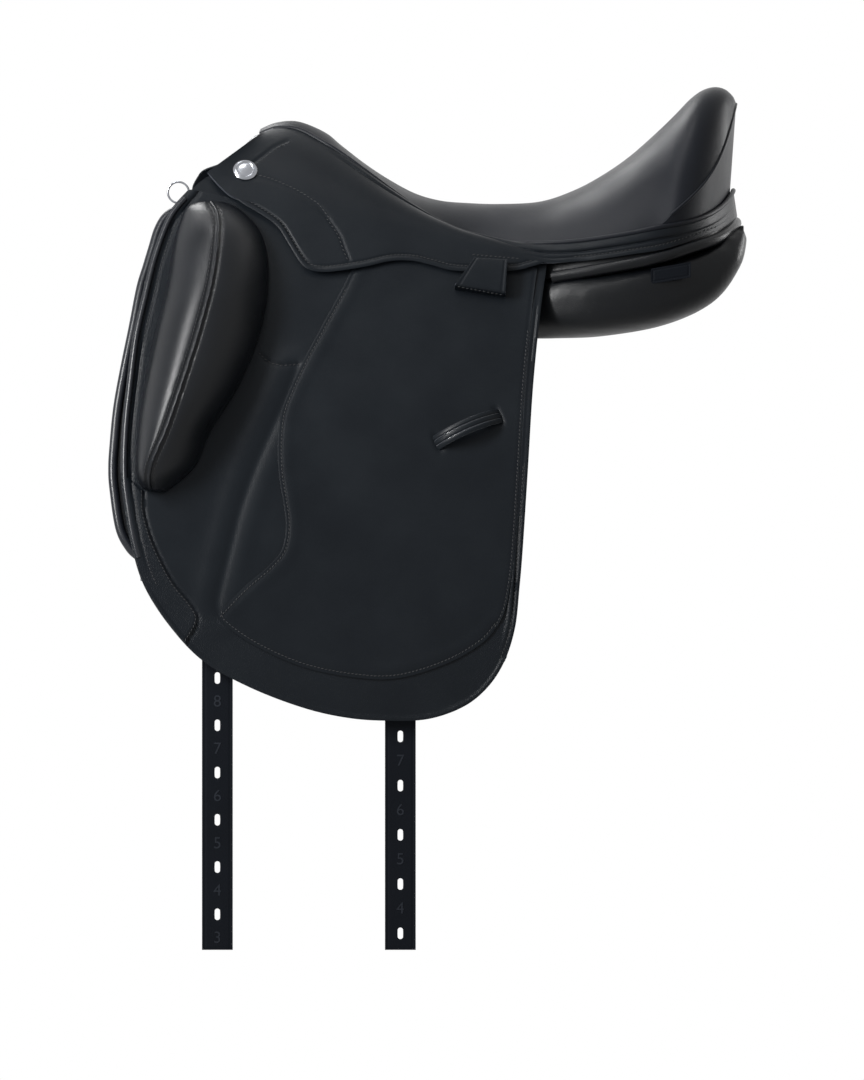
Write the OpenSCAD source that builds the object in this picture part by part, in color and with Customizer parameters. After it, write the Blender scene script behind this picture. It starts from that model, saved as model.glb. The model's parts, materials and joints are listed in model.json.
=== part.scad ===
// Dressage saddle on a laminated tree: x forward, y to the near side, z up, lengths in mm.
// The origin lies on the middle plane where the panels bear on the horse's back.

/* [Leather layers] */
// radius of the flap's curve over the horse's side
flap_r = 1070; // [1000:5:1200]
// height at which the flaps hang straight down
plumb_z = -340; // [-345:1:-330]
// half distance between the flaps where they hang straight
plumb_y = 200; // [194:1:206]
// thickness of the flap
flap_t = 5; // [3.5:0.25:6]
// thickness of the smooth leather laid on the flap
overlay_t = 1.2; // [0.8:0.1:1.6]
// thickness of the skirt
skirt_t = 3.5; // [2.5:0.25:4]
// thickness of the sweat flap
sweat_t = 5; // [3:0.25:6]
// room between leathers that lie on each other
layer_gap = 0.4; // [0.3:0.05:0.6]
// room under the flap for the tails of its keeper
tail_room = 4.5; // [4:0.25:6]
// room between the sweat flap and the billets
billet_room = 1.5; // [1.2:0.1:2.5]

/* [Flap] */
// lowest point of the flap under the bearing level
flap_drop = 346.5; // [330:0.5:370]
// foremost point of the flap
flap_reach = 327; // [318:0.5:332]
// front end of the line on which flap and skirt fold
fold_front_x = 265; // [262:0.5:268]
// height of the fold at its front end
fold_front_z = 138; // [136:0.5:140]
// rear end of the fold
fold_rear_x = -62; // [-64:0.5:-60]
// height of the fold at its rear end
fold_rear_z = 70; // [69:0.5:72]
// distance of the fold's axis from the skirt's outer skin
fold_out = 1; // [0.8:0.1:2]

/* [Thigh block] */
// how far the block stands off the flap
block_h = 54; // [40:1:60]

/* [Seat] */
// thickness of the seat leather
cover_t = 2.5; // [1.5:0.25:2.5]
// depth of the seat foam at the middle
foam_t = 17; // [12:0.5:17]
// thickness of the strained webbing
web_t = 2; // [1:0.25:2]
// thickness of the leather over the back of the cantle
facing_t = 2.5; // [1.5:0.25:3]
// radius of the piping round the seat
welt_r = 2.2; // [1.5:0.1:2.2]

/* [Tree] */
// inner radius of the steel arch
arch_r = 58; // [55:0.5:58]
// thickness of the steel arch
plate_t = 4; // [3:0.25:4.5]
// length of the steel arch along the tree
plate_len = 24; // [18:1:28]
// thickness of the wooden head
head_t = 11.5; // [9:0.5:11.5]
// length of the wooden head along the tree
head_len = 30; // [26:1:30]
// length of the straight points below the arch
point_len = 62; // [50:1:63]
// angle of the points from upright
splay = 30; // [29:0.5:31]
// lean of the arch from upright
head_lean = 45; // [44:0.5:46]
// radius of the rivets in the head
rivet_r = 3; // [2:0.25:3.5]
// width of the side rails
rail_w = 30; // [24:1:30]
// thickness of the side rails
rail_t = 12; // [9:0.5:12]

/* [Stirrup bar] */
// length of the bar's blade
bar_len = 52; // [46:1:52]
// height of the blade
bar_h = 12; // [8:0.5:13]
// thickness of the blade
bar_t = 6; // [4:0.5:6]
// room behind the blade for the stirrup leather
bar_gap = 10; // [8:0.5:10]
// thickness of the bar's back plate
bar_plate_t = 4; // [3:0.25:4]
// radius of the hinge pin of the catch
pin_r = 2; // [1.5:0.25:2.5]
// length of the catch from its pin
catch_len = 17; // [12:1:18]

/* [Billets] */
// width of a billet
billet_w = 28; // [24:0.5:30]
// thickness of a billet
billet_t = 4; // [3:0.25:4.5]
// distance of the billet ends under the bearing level
billet_drop = 555; // [540:1:640]
// place of the front billet along the saddle
front_billet_x = 239; // [236:0.5:241]
// place of the rear billet along the saddle
rear_billet_x = 72.5; // [71:0.5:74]
// width of a buckle hole
hole_w = 5; // [4.5:0.25:7]
// length of a buckle hole
hole_l = 10.5; // [8:0.5:14]
// distance between the holes of a front billet
front_pitch = 43; // [38:0.5:46]
// distance between the holes of a rear billet
rear_pitch = 44.8; // [40:0.1:48]
// thickness of the girth webs
girth_web_t = 2; // [1:0.25:2]

/* [Panel] */
// width of the channel between the panels
channel_w = 66; // [60:1:72]
// radius of the roll round the panel's top
roll_r = 5.5; // [4:0.25:6]
// thickness of the channel's lining
lining_t = 2; // [1.5:0.25:2.5]
// radius of the roll at the front of the sweat flap
front_roll_r = 4.5; // [3.5:0.25:5]

/* [Small parts] */
// outer diameter of the ring
ring_d = 21; // [19:0.5:24]
// thickness of the ring's wire
wire_d = 1.9; // [1.8:0.1:3]
// diameter of the round nail heads
nail_d = 22; // [16:0.5:24]
// thickness of the keeper straps
keeper_t = 2.5; // [2:0.25:3]
// height of the space under a flap keeper
keeper_gap = 11.5; // [10.5:0.25:13]
// height of the space under a skirt keeper
loop_gap = 8; // [7:0.5:8.5]

/* [Hidden] */
$fn = 48;
fine = 400;

// Radii of the leather layers, from the flap outward and from the flap inward.
flap_out = flap_r + flap_t;
overlay_in = flap_out + layer_gap;
skirt_in = overlay_in + overlay_t + layer_gap;
skirt_out = skirt_in + skirt_t;
billet_out = flap_r - tail_room;
billet_in = billet_out - billet_t;
sweat_out = billet_in - billet_room;
sweat_in = sweat_out - sweat_t;

function layer_y(r, z) = plumb_y - flap_r + sqrt(r * r - pow(max(z - plumb_z, 0), 2));
function layer_lean(r, z) = asin(max(z - plumb_z, 0) / r);
function fold_z(x) = fold_rear_z
    + (fold_front_z - fold_rear_z) * (x - fold_rear_x) / (fold_front_x - fold_rear_x);

// Smooth curves through the points that a shape needs.
function near(p, i) = p[max(0, min(len(p) - 1, i))];
function blend(a, b, c, d, t) = 0.5 * (2 * b + (c - a) * t + (2 * a - 5 * b + 4 * c - d) * t * t
    + (3 * b - a - 3 * c + d) * t * t * t);
function curve(p, n) = [
    for (i = [0:len(p) - 2]) for (k = [0:n - 1])
        blend(near(p, i - 1), p[i], p[i + 1], near(p, i + 2), k / n),
    p[len(p) - 1]];
function mix(a, b, t) = a + (b - a) * t;
function unit(v) = v / norm(v);
function reversed(p) = [for (i = [len(p) - 1:-1:0]) p[i]];

// Solid through rings of points; each ring is a closed loop and each end is capped.
module loft(loops, turned = false) {
    rings = turned ? [for (r = loops) reversed(r)] : loops;
    n = len(rings[0]);
    m = len(rings);
    sides = [for (i = [0:m - 2]) for (j = [0:n - 1]) each [
        [i * n + j, i * n + (j + 1) % n, (i + 1) * n + (j + 1) % n],
        [i * n + j, (i + 1) * n + (j + 1) % n, (i + 1) * n + j]]];
    first = [for (j = [0:n / 2 - 2]) each [[j + 1, j, n - 1 - j], [j + 1, n - 1 - j, n - 2 - j]]];
    last = [for (f = first) [for (k = reversed(f)) k + (m - 1) * n]];
    polyhedron([for (r = rings) each r], concat(sides, first, last), 8);
}

// Rings of a round or flat bar that follows a path.
function tangent(p, i) = unit(near(p, i + 1) - near(p, i - 1));
function side_of(t) = unit(cross([0, 0, 1], t));
function bar_ring(c, t, s) = [for (q = s) c + side_of(t) * q.x + cross(t, side_of(t)) * q.y];
function bar_rings(p, s) = [for (i = [0:len(p) - 1]) bar_ring(p[i], tangent(p, i), s)];
function disc(r, n) = [for (k = [0:n - 1]) r * [cos(360 * k / n), sin(360 * k / n)]];
function flat_bar(w, t) = [[w, t / 2], [w - 3, t], [3 - w, t], [-w, t / 2], [-w, -t / 2], [3 - w, -t],
    [w - 3, -t], [w, -t / 2]] / 2;

// Solid under a side view, cut from y = 30 outward.
module side_view(points) {
    translate([0, 300, 0])
        rotate([90, 0, 0])
            linear_extrude(270)
                polygon(points);
}

// Curved layer of leather that hangs straight below the plumb height.
module layer(r, t) {
    translate([-400, plumb_y - flap_r, plumb_z])
        rotate([90, 0, 90])
            linear_extrude(800)
                union() {
                    intersection() {
                        difference() {
                            circle(r + t, $fn = fine);
                            circle(r, $fn = fine);
                        }
                        square(1300);
                    }
                    translate([r, -400])
                        square([t, 400]);
                }
}

module leather(points, r, t) {
    intersection() {
        side_view(points);
        layer(r, t);
    }
}

module far_side() {
    mirror([0, 1, 0])
        children();
}

module both() {
    children();
    far_side() children();
}

// Place on a layer, with x along the saddle, y off the leather and z up its slope.
module on_layer(x, z, r) {
    translate([x, layer_y(r, z), z])
        rotate([layer_lean(r, z), 0, 0])
            children();
}

// Seat stations: place, middle height, half width, edge height.
rim_x = -162;
rim_a = 71;
rim_b = 135;
function rim_y(x) = rim_b * sqrt(1 - pow((rim_x - x) / rim_a, 2));
seat_rows = [[200, 192, 18, 187.5], [185, 198, 24, 193], [165, 198.8, 30, 191.5], [141, 189, 42.5, 179],
    [126, 177, 48.5, 169.5], [104, 160, 58.5, 153.5], [81, 145, 66.5, 136.5], [58, 133, 73.5, 120],
    [35.5, 126.8, 80.5, 105], [13, 124.8, 88.5, 94.5], [-17, 123.8, 99.5, 89.2],
    [-54.6, 126, 114, 88.3], [-85, 136, 123, 90], [-110.6, 149.5, 129, 93.1], [-136, 167, 133, 97],
    [-161, 189, 134.5, 102.3], [-178, 205.5, rim_y(-178), 118.6], [-191, 219, rim_y(-191), 133.8],
    [-202, 227, rim_y(-202), 150], [-213, 230.2, rim_y(-213), 172.9],
    [-222.6, 228.3, rim_y(-222.6), 191.4], [-229.5, 222, rim_y(-229.5), 209]];
function seat_bow(x) = 2.5 + 0.3 * max(-1, min(1, -x / 150));
function seat_at(row, s, d) = [row[0], s * row[2],
    row[1] - (row[1] - row[3]) * pow(abs(s), seat_bow(row[0])) - d];
function seat_ring(row, n, top, low) = concat(
    [for (k = [-n:n]) seat_at(row, k / 6, top)],
    [for (k = [n:-1:-n]) seat_at(row, k / 6, mix(low, min(low, top + 4), pow(abs(k / 6), 2)))]);
function rows_between(rows, a, b) = [for (r = rows) if (r[0] <= a && r[0] >= b) r];

foam_top = cover_t + 0.85;
web_top = foam_top + foam_t + 0.5;

module seat_cover() {
    color("#26282b")
        loft([for (r = curve(seat_rows, 2)) seat_ring(r, 6, 0, cover_t)], true);
}

module seat_foam() {
    color("#c9b458")
        loft([for (r = rows_between(curve(seat_rows, 2), 105, -203))
            seat_ring(r, 5, foam_top, foam_top + foam_t)], true);
}

module seat_webbing() {
    color("#b9ab8c")
        loft([for (r = rows_between(curve(seat_rows, 2), 100, -192)) concat(
            [for (y = [-25, 0, 25]) seat_at(r, y / r[2], web_top)],
            [for (y = [25, 0, -25]) seat_at(r, y / r[2], web_top + web_t)])], true);
}

// Back of the cantle, between the rim and the piping.
function back_top(a) = [rim_x - rim_a * cos(a), rim_b * sin(a), 103.7 + 111 * pow(cos(a), 1.42)];
function back_low(a) = [-161 - 66 * cos(a), 135 * sin(a), 102.6 + 27 * pow(cos(a), 2.2)];
function back_in(a, d) = [d * cos(a), -d * sin(a), 0];
function back_at(a, v, d) = mix(back_low(a) + [0, 0, 6], back_top(a) - [0, 0, cover_t + 2.5], v)
    + back_in(a, d);
module cantle_facing() {
    color("#26282b")
        loft([for (a = [-78:6:78]) concat(
            [for (v = [0:0.25:1]) back_at(a, v, 0)],
            [for (v = [1:-0.25:0]) back_at(a, v, facing_t)])], true);
}

// Skirt stations: top place, height and half width, then foot place, height and half width.
function on_fold(x) = [x, fold_z(x) + 0.4, layer_y(skirt_out, fold_z(x) + 0.4)];
skirt_rows = [for (r = [
    [[200, 188, 20], [248, 153, 91]], [[185, 193.5, 25], [236, 139.5, layer_y(skirt_out, 139.5)]],
    [[165, 192, 31], on_fold(221)],
    [[141, 179.5, 44], on_fold(180)], [[126, 170, 50], on_fold(150)], [[104, 154, 60], on_fold(115)],
    [[81, 137, 68], on_fold(85)], [[58, 120.5, 75], on_fold(58)], [[35.5, 105.4, 82], on_fold(33)],
    [[13, 94.8, 90], on_fold(8)], [[-17, 89.5, 101], on_fold(-20)], [[-54.6, 88.6, 116], on_fold(-58)],
    [[-85, 90.2, 125], [-87, 71.5, 131]], [[-110.6, 93.4, 131], [-111, 74, 136]],
    [[-136, 97.5, 135], [-138, 78, 140]], [[-161, 102.6, 136.5], [-164, 82, 140.5]],
    [[-180, 106, 129], [-182, 87, 133]], [[-197, 110, 114], [-199, 93, 117]],
    [[-211, 115, 92], [-213, 100, 94]], [[-221, 121, 62], [-223, 108.5, 63]],
    [[-226, 127.5, 30], [-228, 117, 30]], [[-227.5, 130.5, 0.3], [-229.5, 120.5, 0.3]]]) r];
function skirt_lean(b) = b[0] > fold_rear_x ? layer_lean(skirt_out, b[1]) : 0;
function skirt_bend(t, b) = let (c = [t[2] - b[2], t[1] - b[1]], l = norm(c),
    up = [-sin(skirt_lean(b)), cos(skirt_lean(b))])
    [b[2], b[1]] + up * l / 2 / max(up * c / l, 0.55);
function skirt_curve(t, b, v) = let (c = skirt_bend(t, b))
    [b[2], b[1]] * (1 - v) * (1 - v) + c * 2 * v * (1 - v) + [t[2], t[1]] * v * v;
function skirt_dir(t, b, v) = let (c = skirt_bend(t, b))
    unit((c - [b[2], b[1]]) * (1 - v) + ([t[2], t[1]] - c) * v);
function skirt_at(t, b, v, d) = let (p = skirt_curve(t, b, v), u = skirt_dir(t, b, v))
    [mix(b[0], t[0], (p.y - b[1]) / (t[1] - b[1])), max(0.3, v == 0 ? p.x - d / u.y : p.x - d * u.y),
        v == 0 ? p.y : p.y + d * u.x];
function skirt_top(r) = 1 - (2 * welt_r + 1.2) / norm(r[0] - r[1]);
function skirt_ring(r) = concat([for (k = [0:6]) skirt_at(r[0], r[1], skirt_top(r) * k / 6, 0)],
    [for (k = [6:-1:0]) skirt_at(r[0], r[1], skirt_top(r) * k / 6, skirt_t)]);
module skirt_upper() {
    color("#2b2d31")
        loft([for (r = curve(skirt_rows, 2)) skirt_ring(r)]);
}

// Piping between the seat and the skirt, from one side of the pommel round the cantle to the other.
welt_half = [for (r = curve(skirt_rows, 2)) let (p = skirt_at(r[0], r[1], 1, 0))
    [p.x, p.y + 1.5, p.z - 0.7]];
welt_path = concat([for (i = [0:len(welt_half) - 2]) welt_half[i]],
    [for (i = [len(welt_half) - 2:-1:0]) [welt_half[i].x, -welt_half[i].y, welt_half[i].z]]);
module seat_welt() {
    color("#17181b")
        loft(bar_rings(welt_path, disc(welt_r, 6)), true);
}

// Tree: an arched head with a steel plate under it, and one frame of rails and cantle.
head_at = [205, 0, 118];
head_in = arch_r + plate_t + 0.4;
function arch_foot(r) = r * [cos(splay), sin(splay)] + point_len * [sin(splay), -cos(splay)];
function arch_edge(r) = concat([arch_foot(r)], [for (a = [splay:6:180 - splay]) r * [cos(a), sin(a)]],
    [[-arch_foot(r).x, arch_foot(r).y]]);
module arch(r, t, length) {
    translate(head_at)
        rotate([0, -head_lean, 0])
            rotate([90, 0, 90])
                translate([0, 0, -length / 2])
                    linear_extrude(length)
                        polygon(concat(arch_edge(r + t), reversed(arch_edge(r))));
}

rivet_angles = [58, 122];
module in_head(a) {
    translate(head_at)
        rotate([0, -head_lean, 0])
            rotate([a - 90, 0, 0])
                children();
}

module rivet_bores(r) {
    for (a = rivet_angles, x = [-7, 7])
        in_head(a)
            translate([x, 0, arch_r - 2])
                cylinder(r = r, h = plate_t + head_t + 6);
}

module tree_head() {
    color("#a3763f")
        difference() {
            arch(head_in, head_t, head_len);
            rivet_bores(rivet_r + 0.15);
        }
}

module gullet_plate() {
    color("#8d9096")
        difference() {
            arch(arch_r, plate_t, plate_len);
            rivet_bores(rivet_r + 0.15);
        }
}

module head_rivets() {
    color("#b98a4a")
        for (a = rivet_angles, x = [-7, 7])
            in_head(a)
                translate([x, 0, arch_r - 1])
                    union() {
                        cylinder(r = rivet_r, h = plate_t + head_t + 1.4);
                        translate([0, 0, plate_t + head_t + 1.8])
                            cylinder(r1 = rivet_r + 2, r2 = rivet_r, h = 1.6);
                        translate([0, 0, plate_t + head_t + 1.2])
                            cylinder(r = rivet_r, h = 0.8);
                    }
}

head_n = [cos(head_lean), 0, sin(head_lean)];
head_up = [-sin(head_lean), 0, cos(head_lean)];
rail_start = head_at + 20 * head_up - (head_len / 2 + 0.5) * head_n + [0, 67, 0];
rail_half = concat([rail_start], [[150, 68, 114], [110, 71, 106], [60, 74, 96], [20, 78, 84], [-30, 88, 76],
    [-80, 102, 78], [-130, 106, 91], [-172, 92, 130], [-194, 55, 170], [-203, 0, 187]]);
rail_curve = curve(rail_half, 3);
rail_path = concat([for (i = [0:len(rail_curve) - 2]) rail_curve[i]],
    [for (p = reversed(rail_curve)) [p.x, -p.y, p.z]]);
module tree_frame() {
    color("#b28449")
        loft([for (i = [0:len(rail_path) - 1]) bar_ring(rail_path[i],
            i == 0 ? -head_n : i == len(rail_path) - 1 ? head_n : tangent(rail_path, i),
            flat_bar(rail_w, rail_t))], true);
}

// Stirrup bar with its hinged catch.
bar_x = 104;
bar_z = 90;
bar_plate_y = 71.5 + rail_w / 2 + 0.5;
bar_y = bar_plate_y + bar_plate_t + bar_gap;
catch_x = bar_x + 4;
module stirrup_bar() {
    color("#9a9da3")
        difference() {
            union() {
                translate([bar_x, bar_plate_y, bar_z - bar_h / 2])
                    cube([bar_len, bar_plate_t, 26]);
                translate([bar_x, bar_y, bar_z - bar_h / 2])
                    cube([bar_len, bar_t, bar_h]);
                translate([bar_x + bar_len - 6, bar_plate_y, bar_z - bar_h / 2])
                    cube([6, bar_plate_t + bar_gap + bar_t, bar_h]);
            }
            translate([bar_x - 1, bar_y + bar_t / 2 - 1.2, bar_z - bar_h / 2 - 1])
                cube([11, 2.4, bar_h + 2]);
            translate([catch_x, bar_y - 1, bar_z])
                rotate([-90, 0, 0])
                    cylinder(r = pin_r + 0.1, h = bar_t + 2);
            for (x = [14, 38])
                translate([bar_x + x, bar_plate_y - 1, bar_z + 14])
                    rotate([-90, 0, 0])
                        cylinder(r = 2.1, h = bar_plate_t + 2);
        }
}

module bar_rivets() {
    color("#84878c")
        both()
            for (x = [14, 38])
                translate([bar_x + x, bar_plate_y - 8, bar_z + 14])
                    rotate([-90, 0, 0])
                        union() {
                            cylinder(r = 2, h = bar_plate_t + 8.3);
                            translate([0, 0, bar_plate_t + 8.3])
                                cylinder(r1 = 3.6, r2 = 2.2, h = 1.6);
                        }
}

module catch_pins() {
    color("#84878c")
        both()
            translate([catch_x, bar_y + 0.1, bar_z])
                rotate([-90, 0, 0])
                    cylinder(r = pin_r, h = bar_t - 0.2);
}

module catch() {
    color("#b3b6bb")
        translate([catch_x, bar_y + bar_t / 2 + 0.9, bar_z])
            rotate([90, 0, 0])
                linear_extrude(1.8)
                    difference() {
                        union() {
                            circle(r = 4.4);
                            translate([-catch_len, -3])
                                square([catch_len, 6]);
                        }
                        circle(r = pin_r + 0.15);
                    }
}

// Webs that carry the billets from the tree.
rear_top_z = 62;
front_top_z = 80;
module girth_web_rear() {
    h = 108.4;
    foot = layer_y(billet_in, rear_top_z) + 0.4;
    half = [[91.5, h], [foot, rear_top_z]];
    color("#3a3a38")
        translate([rear_billet_x - billet_w / 2, 0, 0])
            rotate([90, 0, 90])
                linear_extrude(billet_w)
                    polygon(concat(half, [for (p = reversed(half)) p + girth_web_t * [1, 0.55]],
                        [for (p = half) [-p.x - girth_web_t, p.y + girth_web_t * 0.55]],
                        [for (p = reversed(half)) [-p.x, p.y]]));
}

module girth_web_front() {
    color("#3a3a38")
        leather([[front_billet_x - 17, front_top_z], [front_billet_x + 14, front_top_z],
            [front_billet_x + 14, 104], [229.6, 113.9], [210.6, 94.9]], billet_in, girth_web_t);
}

// Flap outline: front edge down, round the foot, and up the rear edge to the fold.
fx = flap_reach - 327;
fz = 346.5 - flap_drop;
flap_edge = curve([[fold_front_x, fold_z(fold_front_x) - 0.4], [284.5, 114], [298.5, 78.4], [308.3, 39],
    [316.2, 3.6], [322 + fx, -42], [326 + fx, -81.4], [327 + fx, -120.8], [324 + fx, -150.5],
    [316.7 + fx, -190 + fz], [304.9 + fx, -225.7 + fz], [281.2 + fx / 2, -262 + fz], [251, -293 + fz],
    [208.4, -316.7 + fz], [160.2, -335 + fz], [120, -344 + fz], [83.7, -346.5 + fz], [47.3, -345 + fz],
    [15.5, -334 + fz], [-6.4, -316.7 + fz], [-22, -293 + fz], [-31.9, -262 + fz], [-36, -225], [-39, -189],
    [-43.7, -116.5], [-48.2, -43.7], [-54.6, 22], [fold_rear_x + 1, fold_z(fold_rear_x + 1) - 0.4]], 4);
bar_notch = [[164, fold_z(164) - 0.4], [164, 77], [86, 77], [86, fold_z(86) - 0.4]];
flap_outline = concat(flap_edge, reversed(bar_notch));

// Smooth leather over the rear of the flap, its front edge running in a long double bend.
overlay_edge = concat([[164, 77]], curve([[125.6, 46.4], [147.8, 5.6], [173.8, -46.4], [183.5, -94.6],
    [180.5, -140], [177, -170], [183, -194], [215.8, -225.7], [241, -252 + fz], [206, -277.6 + fz],
    [160.5, -297.8 + fz], [110, -307.6 + fz], [72, -309.4 + fz], [29, -292 + fz], [-15.5, -263 + fz],
    [-27, -225], [-31, -189], [-35.7, -116.5], [-40.2, -43.7], [-46.6, 22],
    [fold_rear_x + 9, fold_z(fold_rear_x + 9) - 0.6]], 4), reversed([[164, 77], [86, 77],
    [86, fold_z(86) - 0.6]]));

keeper_at = [10.9, -81.2];
keeper_turn = 23.7;
keeper_span = 57.7;
module keeper_slots() {
    on_layer(keeper_at.x, keeper_at.y, overlay_in + overlay_t)
        rotate([0, keeper_turn, 0])
            for (s = [-1, 1])
                translate([s * (keeper_span / 2 + 5) - 7.5, -12, -7.6])
                    cube([15, 16, 15.2]);
}

module flap() {
    color("#2a2d31")
        difference() {
            leather(flap_outline, flap_r, flap_t);
            keeper_slots();
        }
}

module flap_overlay() {
    color("#303338")
        difference() {
            leather(overlay_edge, overlay_in, overlay_t);
            keeper_slots();
        }
}

module flap_keeper() {
    r = (pow(keeper_span / 2, 2) + pow(keeper_gap, 2)) / 2 / keeper_gap;
    color("#2f3237")
        on_layer(keeper_at.x, keeper_at.y, overlay_in + overlay_t)
            rotate([0, keeper_turn, 0])
                translate([0, 0, -7])
                    linear_extrude(14)
                        intersection() {
                            translate([0, keeper_gap - r])
                                difference() {
                                    circle(r + keeper_t, $fn = 180);
                                    circle(r, $fn = 180);
                                }
                            translate([-50, -7.5])
                                square([100, 40]);
                        }
}

// Thigh block: each row has its front edge, ridge and rear edge in side view, and its share of the height.
block_rows = [[262, 126, 246, 126.5, 234, 126, 0.16], [269, 119, 239, 114, 216, 117, 0.55],
    [279, 92, 238.5, 94, 197, 94, 0.86], [287, 48, 244, 54, 191, 57, 1], [299, 0, 256, 8, 198, 8, 1],
    [308, -48, 272, -42, 218, -42, 0.96], [313, -90, 286, -82, 243, -82, 0.84],
    [314, -122, 300, -116, 259, -117, 0.6], [308, -136, 300, -138, 286, -139.5, 0.16]];
function block_foot(x, z, h) = [x, layer_y(flap_out + layer_gap, z) + h, z];
function block_side(r, u) = mix([r[2], r[3]], u < 0 ? [r[0], r[1]] : [r[4], r[5]], abs(u));
function block_rise(u) = 0.08 + 0.92 * pow(u < 0 ? 1 - pow(-u, 2.4) : cos(90 * u), 0.8);
function block_ring(r) = concat(
    [for (k = [-5:5]) let (p = block_side(r, k / 5))
        block_foot(p.x, p.y, block_h * r[6] * block_rise(k / 5))],
    [for (k = [5:-1:-5]) let (p = block_side(r, k / 5)) block_foot(p.x, p.y, 0)]);
module thigh_block() {
    color("#2c2f33")
        loft([for (r = reversed(curve(block_rows, 2))) block_ring(r)], true);
}

// Lower skirt, folding on the same line as the flap.
skirt_outline = concat([[222, fold_z(222) - 0.4]], curve([[214, 123], [197, 113], [184, 103], [175.6, 90],
    [169, 79], [162, 69], [155, 64], [144, 62], [129, 63],
    [104, 67], [81, 72], [61, 72], [43, 68], [21, 63], [-27, 63], [-47, 67],
    [fold_rear_x + 4, fold_z(fold_rear_x + 4) - 0.4]], 2));
loop_at = [-5, 60];
loop_side = [[5, 78], [-33, 74], [-23, 36], [23, 44]];
module skirt() {
    color("#2b2d31")
        difference() {
            leather(skirt_outline, skirt_in, skirt_t);
            on_layer(loop_at.x, loop_at.y, skirt_out)
                rotate([0, -8, 0])
                    translate([-33, -6, 10.2])
                        cube([51, 12, keeper_t + 0.8]);
        }
}

module skirt_keeper() {
    color("#2f3237")
        intersection() {
            side_view(loop_side);
            on_layer(loop_at.x, loop_at.y, skirt_out)
                rotate([0, -8, 0])
                    translate([-45, 0, 0])
                        rotate([90, 0, 90])
                            linear_extrude(90)
                                difference() {
                                    translate([-skirt_t + 0.3, -19])
                                        square([skirt_t + loop_gap + keeper_t - 0.3, 32]);
                                    translate([-skirt_t + keeper_t + 0.3, -19 + keeper_t])
                                        square([skirt_t + loop_gap - keeper_t - 0.3, 32 - 2 * keeper_t]);
                                    translate([-skirt_t - 1, -1.5])
                                        square([skirt_t + 1.3, 12]);
                                }
        }
}

// Billets with half round tops, hung from their webs, and slots for the girth buckles.
function strap(x, top, w) = concat(
    [for (a = [0:12:180]) [x + w / 2 * cos(a), top - w / 2 + w / 2 * sin(a)]],
    [[x - w / 2, -billet_drop], [x + w / 2, -billet_drop]]);
module billet(x, top, low, pitch, count) {
    color("#1f2227")
        difference() {
            leather(strap(x, top, billet_w), billet_in, billet_t);
            for (i = [0:count - 1])
                translate([x, 300, low + i * pitch])
                    rotate([90, 0, 0])
                        linear_extrude(270)
                            union() {
                                translate([-hole_w / 2, -(hole_l - hole_w) / 2])
                                    square([hole_w, hole_l - hole_w]);
                                for (s = [-1, 1])
                                    translate([0, s * (hole_l - hole_w) / 2])
                                        circle(d = hole_w);
                            }
        }
}

module front_billet() {
    billet(front_billet_x, front_top_z - 0.4, 32.4 - billet_drop, front_pitch, 6);
}

module rear_billet() {
    billet(rear_billet_x, rear_top_z - 0.4, 15.1 - billet_drop, rear_pitch, 5);
}

// Sweat flap under the flap, with a padded roll along its front edge.
roll_line = curve([[276, 112], [291.5, 100], [297.5, 83.7], [303, 65.5], [308.5, 47], [315.5, 11],
    [323, -25.5],
    [329.5, -62], [333, -98], [334, -116.5], [333, -134.7], [327.5, -171], [318.5, -189], [310, -197]], 2);
sweat_outline = concat([for (i = [1:len(roll_line) - 2]) roll_line[i] - [front_roll_r + 2.2, 0]],
    curve([[292, -215], [262, -245], [205, -275], [130, -292], [60, -285], [34, -255], [26, -150], [23, -40],
        [22, 45]], 3),
    [[100, 58], [200, 74], [240, 84], [262, 101]]);
module sweat_flap() {
    color("#25282b")
        leather(sweat_outline, sweat_in, sweat_t);
}

module sweat_roll() {
    color("#22252a")
        loft(bar_rings([for (p = roll_line) [p.x, layer_y(sweat_in + sweat_t / 2, p.y), p.y]],
            disc(front_roll_r, 8)), true);
}

// Panels: each row has its place, middle, half width, half depth and roll.
panel_rows = [[225, 68, 60, 36, 8, -58], [190, 66, 58, 42, 11, -58], [130, 68, 54, 44, 14, -52],
    [70, 74, 46, 43, 18, -40], [10, 78, 37, 42, 23, -24], [-40, 79, 32, 44, 27, -12],
    [-75, 86, 31, 51, 27.5, -5], [-110, 91, 32.5, 55, 27.5, -3], [-160, 91, 40, 54, 26, -3],
    [-198, 84, 56, 46, 22.5, -5], [-221, 76, 75.8, 36, 13.6, -4], [-230, 70, 93.5, 23.5, 5, 0]];
function panel_shift(r) = [0, channel_w / 2 - 33, 0];
function power(v, e) = sign(v) * pow(abs(v), e);
function panel_ring(r, t) = let (p = atan2(-t.z, t.x), n = 14) [for (k = [0:n - 1])
    let (a = 360 * (k + 0.5) / n, u = r[3] * power(cos(a), 0.8), w = r[4] * power(sin(a), 0.8),
        y = u * cos(r[5]) - w * sin(r[5]), h = u * sin(r[5]) + w * cos(r[5]))
    [r[0] + h * sin(p), r[1] + y, r[2] + h * cos(p)] + panel_shift(r)];
module panel() {
    rows = curve(panel_rows, 3);
    path = [for (r = rows) [r[0], 0, r[2]]];
    color("#26292d")
        loft([for (i = [0:len(rows) - 1]) panel_ring(rows[i], -tangent(path, i))]);
}

welt_line = curve([[-66, 126, 57], [-110, 137, 64.3], [-157, 139, 73.3], [-190, 125, 83.3],
    [-216.5, 99, 94.6],
    [-232, 63.5, 109], [-236, 28, 119.5], [-236.3, 0, 122.5]], 3);
panel_welt_path = concat([for (i = [0:len(welt_line) - 2]) welt_line[i]],
    [for (p = reversed(welt_line)) [p.x, -p.y, p.z]]);
module panel_welt() {
    color("#1b1d20")
        loft(bar_rings(panel_welt_path, disc(roll_r, 8)), true);
}

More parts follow.
